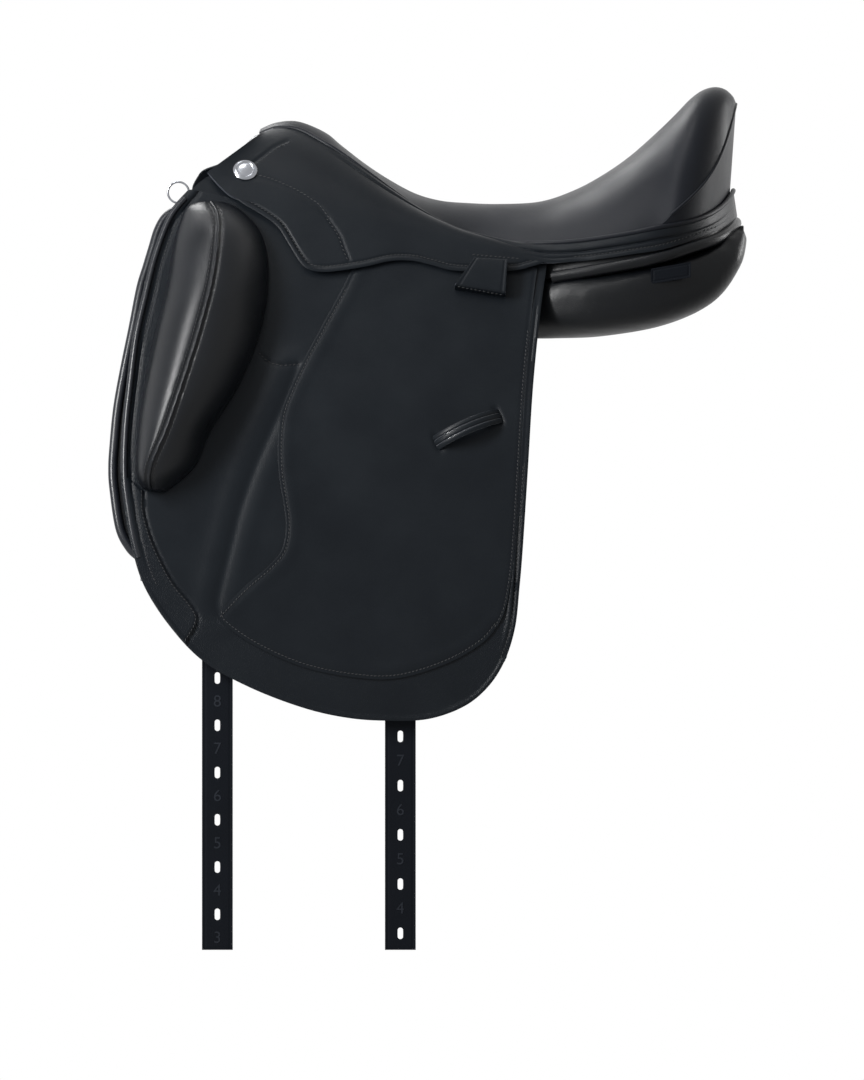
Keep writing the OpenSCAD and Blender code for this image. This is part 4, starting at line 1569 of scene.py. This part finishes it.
    def mark_grain(self, piece: Thing) -> None:
        """Marks where the flap's leather is grained: its border and the band before the block.

        Args:
            piece: The flap.
        """
        places = read(piece)[:, [0, 2]]
        ring = np.vstack([curve(self.strip_seam)[:41], curve(self.foot_seam)[::-1], self.plain_top])
        mark = piece.data.attributes.new("grain", "FLOAT", "POINT")
        mark.data.foreach_set("value", (~inside(places, ring)).astype(np.float32))

    def build(self) -> None:
        """Models the flaps and what is sewn on them."""
        front, _, rear = self.edges()
        flap = laid_grid("flap_leather_left", (170, 200), self.skin, (0, 1, 0))
        clip_corners(flap)
        self.mark_grain(flap)
        seams = [curve(self.short_seam), inset(curve(self.strip_seam), self.strip_thread),
                 inset(front[4:], self.lead_thread), inset(rear[:-24], self.tail_thread)]
        thread = STITCH.sew("flap_thread_left", flap, seams)
        cut(flap, self.thick - self.inner_gap, 1, self.edge_r)
        settle_pair(flap, "flap_leather", "flap_{}", "flap_{}", FLAP_CALF, WAXED_EDGE_HIGHLIGHT)
        settle_pair(thread, "flap_leather", "flap_{}", None, THREAD)
        path = inset(front[3:-6], self.roll_r + self.roll_in)
        path = DRAPE.lay(path, self.thick + self.roll_rise)
        roll = piping("flap_edge_roll_left", path, self.roll_r, 4)
        settle_pair(roll, "flap_leather", "flap_{}", None, ROLL_CALF)
        over = laid_grid("overlay_leather_left", (130, 190), self.over_skin, (0, 1, 0))
        seams = [inset(curve(self.bend_seam), self.over_thread)[16:],
                 inset(curve(self.foot_seam), -self.over_thread),
                 inset(curve(self.rear_seam), self.over_thread / 2)[:-10]]
        thread = STITCH.sew("overlay_thread_left", over, seams)
        cut(over, self.over_t)
        settle_pair(over, "flap_leather", "flap_{}", "flap_overlay_{}", FLAP_CALF)
        settle_pair(thread, "flap_leather", "flap_{}", None, THREAD)


@dataclass
class ThighBlock:
    """Stuffed block at the front of the flap, drawn to a piped ridge."""

    rise: float = 5.4
    height: float = 54.0
    foot: float = 0.04
    fore_power: float = 2.4
    round_power: float = 0.8
    stuffing: Stuffing = Stuffing(3.5, cap=1.5)
    skin_from: float = 4.0
    ridge_r: float = 1.5
    ridge_rise: float = 0.5
    ridge_shares: Place = (0.03, 0.97)
    ridge_groove: Groove = Groove(1.5, 1.6, 2.4)
    seam_off: Place = (4.6, 0.6)
    back_depth: float = 4.0
    rows: tuple[tuple[float, ...], ...] = (
        (262, 126, 246, 126.5, 234, 126, 0.16), (269, 119, 239, 114, 216, 117, 0.55),
        (279, 92, 238.5, 94, 197, 94, 0.86), (287, 48, 244, 54, 191, 57, 1),
        (299, 0, 256, 8, 198, 8, 1), (308, -48, 272, -42, 218, -42, 0.96),
        (313, -90, 286, -82, 243, -82, 0.84), (314, -122, 300, -116, 259, -117, 0.6),
        (308, -136, 300, -138, 286, -139.5, 0.16))

    def skin(self, u: Array, v: Array) -> Array:
        """Places on the block, from its front edge over the ridge to its rear edge, and down it.

        Args:
            u: Shares from the front edge to the rear edge.
            v: Shares from top to foot.

        Returns:
            Places in space.
        """
        row = stations(self.rows, v)
        across = np.ravel(u) * 2 - 1
        edge = np.where((across < 0)[:, None], row[:, 0:2], row[:, 4:6])
        share = np.abs(across)
        spots = row[:, 2:4] + (edge - row[:, 2:4]) * share[:, None]
        fore = np.maximum(0, 1 - share ** self.fore_power) ** self.round_power
        aft = np.maximum(0, np.cos(np.pi / 2 * share)) ** self.round_power
        dome = np.where(across < 0, fore, aft)
        lift = self.height * row[:, 6] * (self.foot + (1 - self.foot) * dome)
        laid = DRAPE.lay(spots, self.rise)
        laid[:, 1] += np.maximum(lift, 0)
        return laid

    def ridge(self) -> Array:
        """Side-view places along the piped ridge."""
        v = np.linspace(*self.ridge_shares, 90)[:, None]
        return self.skin(np.full_like(v, 0.5), v)[:, [0, 2]]

    def draw_in(self, block: Thing, ridge: Array) -> None:
        """Draws the cover in on both sides of the ridge, as the two seams do.

        Args:
            block: Cover of the block.
            ridge: Side-view places along the ridge.
        """
        places = read(block)
        outer = places[:, 1] > DRAPE.lay(places[:, [0, 2]], self.rise + self.skin_from)[:, 1]
        gap = distance(places[:, [0, 2]], ridge)
        places[:, 1] += outer * self.ridge_groove.at(gap)
        write(block, places)

    def build(self) -> None:
        """Models the blocks with their ridge piping and thread."""
        block = laid_grid("thigh_block_cover_left", (64, 110), self.skin, (0, 1, 0))
        self.close(block)
        self.stuffing.swell(block)
        view = self.ridge()
        self.draw_in(block, view)
        smooth(block, 80)
        lift = self.ridge_rise * MM
        hits = [(hit + normal * lift) / MM for hit, normal in cast(block, view) if hit is not None]
        seams = [view[4:-4] + self.seam_off, view[4:-4] - self.seam_off]
        thread = STITCH.sew("thigh_block_thread_left", block, seams)
        for one in settle_pair(block, "leather", "flap_{}", "thigh_block_{}", BLOCK_CALF):
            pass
        settle_pair(thread, "leather", "flap_{}", None, THREAD)
        ridge = piping("thigh_block_piping_left", np.array(hits), self.ridge_r)
        settle_pair(ridge, "leather", "flap_{}", None, BLOCK_CALF)

    def close(self, block: Thing) -> None:
        """Draws the block's rim down to the flap and closes its back.

        Args:
            block: Cover of the block.
        """
        down = {"value": (0, -self.back_depth * MM, 0)}
        edit(block, lambda: bpy.ops.mesh.select_all(action="DESELECT"),
             bpy.ops.mesh.select_non_manifold,
             lambda: bpy.ops.mesh.extrude_region_move(TRANSFORM_OT_translate=down),
             bpy.ops.mesh.fill)
        turn_out(block)


@dataclass
class Keepers:
    """Leather loops that hold the stirrup leather: one on the flap and one under the skirt."""

    flap_at: Place = (10.9, -81.2)
    flap_turn: float = Flap.keeper_turn
    span: float = 57.7
    gap: float = 11.5
    thick: float = 2.5
    strap_w: float = 14.0
    tuck: float = 3.0
    overrun: float = 1.04
    loop_at: Place = (-5.0, 60.0)
    loop_side: tuple[Place, Place, Place, Place] = ((5, 78), (-25, 74), (-23, 36), (23, 44))
    loop_path: tuple[Place, ...] = (
        (-2.5, 11.6), (2, 13), (6.5, 13), (8.5, 10.5), (9.5, 0), (8.5, -15), (6.7, -18.4),
        (3, -18.9), (-3, -18.9))
    loop_top: float = 13.0
    loop_drop: float = 32.0
    loop_w: float = 40.0
    loop_slope: Place = (0.06, 0.11)
    loop_front: float = 3.0
    edge_r: float = 0.7
    crease: Groove = Groove(0.7, 0.7, 2.4)
    edge_drop: float = 0.9
    loop_crease: Groove = Groove(0.5, 0.8, 3.0)
    loop_thread: tuple[Place, Place] = ((19.0, 48.5), (-19.0, 41.5))

    def on_layer(self, at: Place, rise: float, local: Array, turn: float) -> Array:
        """Moves places from a frame that lies on a leather into the saddle's frame.

        Args:
            at: Side-view place of the frame.
            rise: Rise of the leather.
            local: Places along, off and up the leather.
            turn: Turn of the frame on the leather, in degrees.

        Returns:
            Places in space.
        """
        a, lean = math.radians(turn), math.asin((at[1] - DRAPE.plumb_z) / (DRAPE.arc + rise))
        x = local[:, 0] * math.cos(a) + local[:, 2] * math.sin(a)
        up = -local[:, 0] * math.sin(a) + local[:, 2] * math.cos(a)
        y = local[:, 1] * math.cos(lean) - up * math.sin(lean)
        z = local[:, 1] * math.sin(lean) + up * math.cos(lean)
        return DRAPE.lay(np.array([at], float), rise) + np.stack([x, y, z], axis=1)

    def strap(self, u: Array, v: Array) -> Array:
        """Places on the flap's keeper: an arched strap with two lengthwise creases.

        Args:
            u: Shares across the strap.
            v: Shares along it.

        Returns:
            Places in space.
        """
        r = ((self.span / 2) ** 2 + self.gap ** 2) / 2 / self.gap
        turn = math.asin(min(1.0, (self.span / 2 + self.tuck) / r))
        angle = (np.ravel(v) * 2 - 1) * turn * self.overrun
        across = (np.ravel(u) * 2 - 1) * self.strap_w / 2
        drop = self.edge_drop * (np.abs(across) / (self.strap_w / 2)) ** 4
        reach = r + self.thick + self.crease.at(across) + self.crease.at(-across) - drop
        off = self.gap - r + reach * np.cos(angle)
        local = np.stack([reach * np.sin(angle), off, across], axis=1)
        return self.on_layer(self.flap_at, Flap.over_rise, local, self.flap_turn)

    def loop(self, u: Array, v: Array) -> Array:
        """Places on the skirt's keeper: out of its slot, down and back under the skirt.

        Args:
            u: Shares across the loop.
            v: Shares along it.

        Returns:
            Places in space.
        """
        spot = along(curve(self.loop_path), v)
        a, b, c, d = (np.array(p, float) for p in self.loop_side)
        share = np.clip((self.loop_top - spot[:, 1]) / self.loop_drop, 0, 1)
        near = b[0] + (c[0] - b[0]) * share
        far = a[0] + (d[0] - a[0]) * share
        x = near + (far - near) * np.ravel(u) - self.loop_at[0]
        edge = np.minimum(np.ravel(u), 1 - np.ravel(u)) * self.loop_w
        off = spot[:, 0] + self.loop_crease.at(edge) * (spot[:, 0] > self.loop_front)
        slope, gain = self.loop_slope
        local = np.stack([x, off, spot[:, 1] + (slope + gain * share) * x], axis=1)
        return self.on_layer(self.loop_at, Skirt.rise, local, 0.0)

    def build(self) -> None:
        """Models the keepers on both sides."""
        strap = laid_grid("flap_keeper_strap_left", (28, 70), self.strap, (0, 1, 0))
        cut(strap, self.thick, 1, self.edge_r, rim=1)
        settle_pair(strap, "leather", "flap_{}", "flap_keeper_{}", FLAP_CALF, WAXED_EDGE_HIGHLIGHT)
        loop = laid_grid("skirt_keeper_loop_left", (44, 90), self.loop, (0, 1, 0))
        thread = STITCH.sew("skirt_keeper_thread_left", loop, [np.array(self.loop_thread)])
        cut(loop, self.thick, 1, self.edge_r, rim=1)
        settle_pair(loop, "leather", "skirt_{}", "skirt_keeper_{}", FLAP_CALF, WAXED_EDGE_HIGHLIGHT)
        settle_pair(thread, "leather", "skirt_{}", None, THREAD)


@dataclass
class Panels:
    """Wool-stuffed panels under the tree, the roll round their top, and the sweat flaps below."""

    roll_r: float = 5.5
    front_roll_r: float = 4.5
    rows: tuple[tuple[float, ...], ...] = (
        (239, 68, 61, 6, 0.8, -58), (238, 68, 61, 17, 3, -58), (233, 68, 60.5, 29, 6, -58),
        (225, 68, 60, 36, 8, -58), (190, 66, 58, 42, 11, -58), (130, 68, 54, 44, 14, -52),
        (70, 74, 46, 43, 18, -40), (10, 78, 37, 42, 23, -24), (-40, 79, 32, 44, 27, -12),
        (-75, 86, 31, 51, 27.5, -5), (-110, 91, 32.5, 55, 27.5, -3), (-160, 91, 40, 54, 26, -3),
        (-199, 84, 56, 46, 23.5, -5), (-223.5, 76, 75.5, 36, 15, -4), (-233.5, 70, 91, 25, 9, 0),
        (-236.5, 67, 100.5, 14, 5, 0), (-236.5, 66, 106, 5, 2, 0))
    roll: tuple[Spot, ...] = (
        (-66, 126, 57), (-110, 137, 64.3), (-157, 139, 73.3), (-190, 125, 83.3), (-215.5, 99, 91.5),
        (-228, 63.5, 99.5), (-231.5, 28, 105), (-232.5, 0, 106.5))
    front_roll: tuple[Place, ...] = (
        (270, 121), (284, 113), (292, 101), (297.5, 83.7), (303, 65.5), (308.5, 47), (315.5, 11),
        (323, -25.5), (329.5, -62), (333, -98), (334, -116.5), (333, -134.7), (327.5, -171),
        (318.5, -189), (310, -197))
    sweat_rear: tuple[Place, ...] = ((60, -285), (34, -255), (26, -150), (23, -40), (22, 45))
    sweat_foot: tuple[Place, ...] = ((60, -285), (130, -292), (205, -275), (262, -245), (303, -197))
    sweat_top: tuple[Place, ...] = ((22, 45), (100, 58), (200, 74), (240, 84), (276, 106))
    sweat_rise: float = -11.6
    sweat_t: float = 3.4
    sweat_edge_r: float = 1.2
    facing_end: Spot = (-30.0, 112.0, 50.0)
    facing_t: float = 1.5
    facing_from: Place = (-110.0, 0.0)
    facing_in: Place = (3.0, 4.0)
    facing_rise: tuple[float, float, float] = (5.0, 12.0, 137.0)
    roll_rise: float = -12.5
    sweat_in: float = 1.0
    stuffing: Stuffing = Stuffing(cap=2.0)
    weld_mm: float = 0.01
    full: float = 0.8
    rear_full: float = 0.36
    rear_fades: Place = (-80.0, -30.0)
    rear_plump: float = 0.3
    plump_fades: Place = (-170.0, -95.0)

    def skin(self, u: Array, v: Array) -> Array:
        """Places round a panel, from the front to the back.

        Args:
            u: Shares from front to back.
            v: Shares round the panel.

        Returns:
            Places in space.
        """
        x, y, z, half, deep, roll = stations(self.rows, u).T
        slope = np.gradient(curve(self.rows, 8)[:, 2]) / np.gradient(curve(self.rows, 8)[:, 0])
        tilt = np.interp(np.ravel(u), np.linspace(0, 1, len(slope)), np.arctan(slope))
        a, turn = np.ravel(v) * 2 * np.pi, np.radians(roll)
        c, s = np.cos(a), np.sin(a)
        full = self.full - self.rear_full * (1 - ease(*self.rear_fades, x)) * ((c > 0) & (s > 0))
        wide, high = half * np.sign(c) * np.abs(c) ** full, deep * np.sign(s) * np.abs(s) ** full
        plump = 1 + self.rear_plump - self.rear_plump * ease(*self.plump_fades, x)
        high = np.where(s > 0, high * plump, high)
        rise = wide * np.sin(turn) + high * np.cos(turn)
        return np.stack([x - rise * np.sin(tilt), y + wide * np.cos(turn) - high * np.sin(turn),
                         z + rise * np.cos(tilt)], axis=1)

    def sweat(self, u: Array, v: Array) -> Array:
        """Places on the sweat flap's outer skin.

        Args:
            u: Shares from rear to front.
            v: Shares from foot to top.

        Returns:
            Places in space.
        """
        line = curve(self.front_roll)[14:-6]
        front = line - [self.sweat_in, 0]
        foot = curve([*self.sweat_foot[:-1], tuple(front[-1])])
        top = curve([*self.sweat_top[:-1], tuple(front[0])])
        patch = Patch(curve(self.sweat_rear), front[::-1], foot, top)
        return DRAPE.lay(patch.at(u, v), self.sweat_rise)

    def facing(self, u: Array, v: Array) -> Array:
        """Places on the strip of leather that joins the roll to the underside of the saddle.

        Args:
            u: Shares from the left side round the back to the right.
            v: Shares from roll to saddle.

        Returns:
            Places in space.
        """
        spot = along(curve(round_back([self.facing_end, *self.roll]), 8), u)
        out = spot[:, :2] - self.facing_from
        out /= np.linalg.norm(out, axis=1)[:, None]
        share = np.ravel(v)[:, None]
        low, gain, half = self.facing_rise
        rise = (low + gain * np.abs(spot[:, 1:2]) / half) * share
        near, far = self.facing_in
        return np.hstack([spot[:, :2] - out * (near + far * share), spot[:, 2:] + rise])

    def build(self) -> None:
        """Models the panels, the rolls and the sweat flaps."""
        panel = laid_grid("panel_cover_left", (120, 72), self.skin, (0, 1, 0))
        weld(panel, self.weld_mm)
        edit(panel, lambda: bpy.ops.mesh.fill_holes(sides=0))
        turn_out(panel)
        self.stuffing.swell(panel)
        smooth(panel)
        for one in settle_pair(panel, "panel_leather", "tree", "panel_{}", PANEL_CALF_SHADED):
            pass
        roll = piping("panel_roll", curve(round_back(self.roll), 8), self.roll_r, 5)
        settle(dress(roll, "leather", PANEL_CALF_SHADED), "tree", "panel_welt")
        strip = cut(laid_grid("panel_facing", (120, 4), self.facing, (-1, 0, 0)), self.facing_t)
        settle(dress(strip, "leather", PANEL_CALF_SHADED), "tree")
        sweat = laid_grid("sweat_flap_leather_left", (60, 80), self.sweat, (0, 1, 0))
        clip_corners(sweat)
        cut(sweat, self.sweat_t, bevel=self.sweat_edge_r)
        settle_pair(sweat, "panel_leather", "tree", "sweat_flap_{}", PANEL_CALF_SHADED)
        path = DRAPE.lay(curve(self.front_roll), self.roll_rise)
        roll = piping("sweat_roll_cover_left", path, self.front_roll_r, 5)
        for one in settle_pair(roll, "panel_leather", "tree", "sweat_roll_{}", ROLL_CALF):
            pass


class Strap(Enum):
    """The two billets on each side."""

    FRONT = "front_billet"
    REAR = "rear_billet"


@dataclass
class Billet:
    """A long girth strap with punched slots and a number at each."""

    strap: Strap
    x: float
    top: float
    lowest: float
    pitch: float
    holes: int
    numbers: str
    first: float
    width: float = 28.0
    thick: float = 4.0
    end: float = -555.0
    rise: float = -4.5
    edge_r: float = 0.5
    top_round: float = 0.98
    cutter_y: float = 193.0
    cutter_l: float = 50.0
    slot_r: float = 2.5
    slot_straight: float = 2.75
    number_h: float = 15.0
    stamp: float = 0.25
    stamp_rise: float = 0.05
    crease: Groove = Groove(0.45, 0.6, 2.6)

    def skin(self, u: Array, v: Array) -> Array:
        """Places on the strap, with a crease along both edges.

        Args:
            u: Shares across the strap.
            v: Shares from its end to its top.

        Returns:
            Places in space.
        """
        z = self.end + (self.top - self.end) * np.ravel(v)
        drop = np.clip(self.width / 2 - (self.top - z), 0, self.width / 2)
        half = np.sqrt((self.width / 2) ** 2 - (self.top_round * drop) ** 2)
        across = np.ravel(u) * 2 - 1
        crease = self.crease.at((1 - np.abs(across)) * half)
        return DRAPE.lay(np.stack([self.x + across * half, z], axis=1), self.rise + crease)

    def punch(self, strap: Thing) -> None:
        """Cuts the slots for the buckle.

        Args:
            strap: The strap.
        """
        pick()
        cutters = []
        for i in range(self.holes):
            middle = self.lowest + i * self.pitch
            bpy.ops.mesh.primitive_cylinder_add(
                vertices=20, radius=self.slot_r * MM, depth=self.cutter_l * MM,
                rotation=(math.pi / 2, 0, 0),
                location=(self.x * MM, self.cutter_y * MM, middle * MM))
            cutter = bpy.context.object
            bpy.ops.object.transform_apply(location=True, rotation=True)
            places = read(cutter)
            places[:, 2] += np.sign(np.round(places[:, 2] - middle, 4)) * self.slot_straight
            write(cutter, places)
            cutters.append(cutter)
        pick(*cutters)
        bpy.ops.object.join()
        cutter = bpy.context.object
        turn_out(cutter)
        apply(strap, "BOOLEAN", operation="DIFFERENCE", object=cutter, solver="EXACT")
        bpy.data.objects.remove(cutter)

    def numerals(self) -> Thing:
        """Stamps the numbers between the slots.

        Returns:
            The numbers as one piece.
        """
        marks = []
        for i, number in enumerate(self.numbers):
            z = self.lowest + (i + self.first) * self.pitch
            y = DRAPE.lay(np.array([[self.x, z]]), self.rise)[0, 1]
            pick()
            bpy.ops.object.text_add(rotation=(math.pi / 2, 0, math.pi),
                                    location=(self.x * MM, (y + self.stamp_rise) * MM, z * MM))
            text = bpy.context.object
            text.data.body = number
            text.data.size = self.number_h * MM
            text.data.extrude = self.stamp * MM
            text.data.align_x = text.data.align_y = "CENTER"
            bpy.ops.object.convert(target="MESH")
            bpy.ops.object.transform_apply(location=True, rotation=True, scale=True)
            marks.append(bpy.context.object)
        pick(*marks)
        bpy.ops.object.join()
        piece = bpy.context.object
        piece.name = piece.data.name = f"{self.strap.value}_numbers_left"
        weld(piece)
        turn_out(piece)
        return piece

    def build(self) -> None:
        """Models the strap on both sides."""
        name = self.strap.value
        strap = laid_grid(f"{name}_strap_left", (36, 150), self.skin, (0, 1, 0))
        thicken(strap, self.thick, 1)
        self.punch(strap)
        round_edges(strap, self.edge_r, 2)
        smooth(strap)
        settle_pair(strap, "billet_leather", name + "_{}", name + "_{}", BRIDLE, WAXED_EDGE_HIGHLIGHT)
        numbers = self.numerals()
        dress(numbers, "billet_leather", STAMPED)
        other = twin(numbers)
        places = read(other)
        places[:, 0] = 2 * self.x - places[:, 0]
        write(other, places)
        edit(other, bpy.ops.mesh.flip_normals)
        for one, side in zip((numbers, other), Side):
            settle(one, f"{name}_{side.value}")


@dataclass
class Fittings:
    """Metal and hidden pieces: nails, rings, bars, tree and webs."""

    nail_d: float = 22.0
    nail_t: float = 1.6
    nail_lift: float = 0.2
    nail_at: Place = (213.8, 154.4)
    tab: tuple[float, float, float, float] = (-191.9, -155.6, 54.0, 68.0)
    tab_slope: float = 0.17
    tab_y: float = 144.3
    tab_t: float = 1.2
    tab_crease: Groove = Groove(0.4, 0.6, 2.0)
    head_steps: tuple[Place, ...] = (
        (1.0, 1.0), (1.5, 0.4), (0.9, -1.1), (0.5, -0.1), (2.4, 0.5), (2.4, 0.2))

    def nails(self) -> None:
        """Turns a domed nail head with a raised ring, and sets one on each skirt."""
        hit, normal = cast(bpy.data.objects["skirt_top_leather_left"], np.array([self.nail_at]))[0]
        way = np.array(normal)
        pick()
        bpy.ops.mesh.primitive_cylinder_add(vertices=64, radius=self.nail_d / 2 * MM,
                                            depth=self.nail_t * MM)
        nail = bpy.context.object
        nail.name = nail.data.name = "nail_head_left"
        self.turn_head(nail)
        places = read(nail)
        side = np.cross([0, 0, 1.0], way)
        side /= np.linalg.norm(side)
        up = np.cross(way, side)
        write(nail, places @ np.array([side, up, way]) + np.array(hit) / MM + way * self.nail_lift)
        smooth(nail, 40)
        for one in settle_pair(nail, "chrome", "tree", None, PLATED):
            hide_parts("head_nails")

    def turn_head(self, nail: Thing) -> None:
        """Shapes the top of the nail by insets and steps.

        Args:
            nail: The nail as a plain disc.
        """
        pick(nail)
        bpy.ops.object.mode_set(mode="EDIT")
        bpy.ops.mesh.select_all(action="DESELECT")
        bpy.ops.object.mode_set(mode="OBJECT")
        for polygon in nail.data.polygons:
            polygon.select = polygon.normal.z > 0.9
        bpy.ops.object.mode_set(mode="EDIT")
        for inward, lift in self.head_steps:
            bpy.ops.mesh.inset(thickness=inward * MM, depth=lift * MM)
        bpy.ops.object.mode_set(mode="OBJECT")

    def hidden(self) -> None:
        """Gives the solids that stay in the scene their finishes."""
        plan: dict[str, tuple[str, Finish]] = {
            "tree_frame": ("beech", SCRIM_PAINTED_SHADE), "tree_head": ("beech", SCRIM_PAINTED_SHADE),
            "gullet_plate": ("steel", DRAWN),
            "head_rivets": ("brass", BRASS), "seat_webbing": ("webbing", LINEN),
            "bar_rivets": ("steel", DRAWN), "catch_pins": ("steel", DRAWN),
            "girth_web_rear": ("girth_web", NYLON), "channel_lining": ("lining_leather", LINING)}
        paired: dict[str, tuple[str, Finish]] = {
            "stirrup_bar": ("steel", DRAWN), "catch": ("steel", DRAWN),
            "d_ring": ("chrome", PLATED), "girth_web_front": ("girth_web", NYLON),
            "ring_chape": ("leather", FLAP_CALF)}
        for side in Side:
            plan |= {f"{node}_{side.value}": look for node, look in paired.items()}
        for node, (slot, finish) in plan.items():
            dress(frame["nodes"][node], slot, finish)

    def tab_skin(self, u: Array, v: Array) -> Array:
        """Places on the tab, with a crease round its edge.

        Args:
            u: Shares along the tab.
            v: Shares up it.

        Returns:
            Places in space.
        """
        x0, x1, z0, z1 = self.tab
        x = x0 + (x1 - x0) * np.ravel(u)
        z = z0 + (z1 - z0) * np.ravel(v)
        edge = np.minimum(np.minimum(x - x0, x1 - x), np.minimum(z - z0, z1 - z))
        slope = self.tab_slope * (x - (x0 + x1) / 2)
        return np.stack([x, self.tab_y + self.tab_crease.at(edge), z - slope], axis=1)

    def sewn_tab(self) -> None:
        """Lays a bare leather tab on the near panel."""
        tab = cut(laid_grid("near_tab", (70, 36), self.tab_skin, (0, 1, 0)), self.tab_t)
        settle(dress(tab, "leather", BRIDLE), "tree", "label_tab")

    def build(self) -> None:
        """Models and dresses the fittings."""
        self.nails()
        self.hidden()
        self.sewn_tab()


@dataclass
class Studio:
    """White sweep with soft boxes and a straight side-on camera."""

    frame_h: float = 0.9828
    middle: tuple[float, float] = (0.0437, -0.182)
    camera_y: float = 3.0
    floor_z: float = -0.5555
    floor_size: float = 8.0
    ambient: float = 0.35
    aim: Spot = (0.05, 0.05, -0.05)
    lamps: tuple[tuple[str, Spot, Place, float], ...] = (
        ("key_box", (0.75, 0.9, 1.4), (0.5, 0.4), 8.5),
        ("top_strip", (0.35, 0.15, 1.6), (0.6, 0.3), 7.0),
        ("front_strip", (1.35, 1.1, 0.6), (0.35, 1.0), 66.0),
        ("rear_strip", (-1.5, -0.9, 0.5), (0.35, 1.0), 14.0),
        ("back_box", (0.55, -0.9, 1.0), (0.5, 0.5), 7.5))
    paper: str = "#cfcfcf"
    paper_glow: float = 0.7
    paper_rough: float = 0.9

    def build(self) -> None:
        """Sets up the camera, the lamps, the floor and the sky."""
        scene = bpy.context.scene
        scene.view_settings.view_transform = "Standard"
        camera = bpy.data.objects.new("camera", bpy.data.cameras.new("camera"))
        scene.collection.objects.link(camera)
        camera.data.type = "ORTHO"
        camera.data.ortho_scale = self.frame_h
        camera.location = (self.middle[0], self.camera_y, self.middle[1])
        camera.rotation_euler = (math.pi / 2, 0, math.pi)
        scene.camera = camera
        for lamp in self.lamps:
            self.hang(*lamp)
        self.sky()
        self.floor()

    def hang(self, name: str, at: Spot, size: Place, watts: float) -> None:
        """Hangs a soft box that looks at the saddle.

        Args:
            name: Name of the lamp.
            at: Place of the lamp.
            size: Width and height.
            watts: Power.
        """
        data = bpy.data.lights.new(name, "AREA")
        data.shape = "RECTANGLE"
        data.size, data.size_y = size
        data.energy = watts
        lamp = bpy.data.objects.new(name, data)
        lamp.location = at
        lamp.rotation_euler = (Vector(self.aim) - Vector(at)).to_track_quat("-Z", "Y").to_euler()
        bpy.context.scene.collection.objects.link(lamp)

    def seen(self, tree: Tree) -> Any:
        """Adds a factor that is 1 for what the camera, a mirror or glass sees.

        Args:
            tree: Node tree that takes the factor.

        Returns:
            Socket with the factor.
        """
        path = add_node(tree, "LightPath")
        total = path.outputs["Is Camera Ray"]
        for ray in ("Is Glossy Ray", "Is Transmission Ray"):
            either = {0: total, 1: path.outputs[ray]}
            total = add_node(tree, "Math", {"operation": "MAXIMUM"}, None, either).outputs[0]
        return total

    def sky(self) -> None:
        """Makes a white sky that lights the saddle softly."""
        world = bpy.data.worlds.new("studio")
        bpy.context.scene.world = world
        world.use_nodes = True
        tree = world.node_tree
        tree.nodes.clear()
        white = linear("#ffffff")
        soft, full = (add_node(tree, "Background", None, {"Color": white, "Strength": strength})
                      for strength in (self.ambient, 1.0))
        mixed = add_node(tree, "MixShader", None, None,
                         {0: self.seen(tree), 1: soft.outputs[0], 2: full.outputs[0]})
        add_node(tree, "OutputWorld", None, None, {"Surface": mixed.outputs[0]})

    def floor(self) -> None:
        """Lays a plain pale floor under the straps."""
        pick()
        bpy.ops.mesh.primitive_plane_add(size=self.floor_size, location=(0, 0, self.floor_z))
        floor = bpy.context.object
        floor.name = "floor"
        material, tree, shader = new_material("white_paper_floor")
        shader.inputs["Base Color"].default_value = linear(self.paper)
        shader.inputs["Roughness"].default_value = self.paper_rough
        share = add_node(tree, "Math", {"operation": "MULTIPLY"}, {1: self.paper_glow},
                         {0: self.seen(tree)})
        glow = add_node(tree, "Emission", None, {"Color": linear("#ffffff"), "Strength": 1.0})
        mixed = add_node(tree, "MixShader", None, None,
                         {0: share.outputs[0], 1: shader.outputs[0], 2: glow.outputs[0]})
        tree.links.new(mixed.outputs[0], tree.nodes["Material Output"].inputs["Surface"])
        floor.data.materials.append(material)


def main() -> None:
    """Builds the saddle piece by piece."""
    logging.basicConfig(level=logging.INFO, format="%(message)s")
    Studio().build()
    Seat().build()
    HeadFacing().build()
    Skirt().build()
    Flap().build()
    ThighBlock().build()
    Keepers().build()
    Panels().build()
    Billet(Strap.FRONT, x=239.0, top=79.6, lowest=-522.6, pitch=43.0, holes=6, numbers="345678",
           first=-0.5).build()
    Billet(Strap.REAR, x=72.5, top=61.6, lowest=-539.9, pitch=44.8, holes=5, numbers="4567",
           first=0.5).build()
    Fittings().build()


if __name__ == "__main__":
    main()
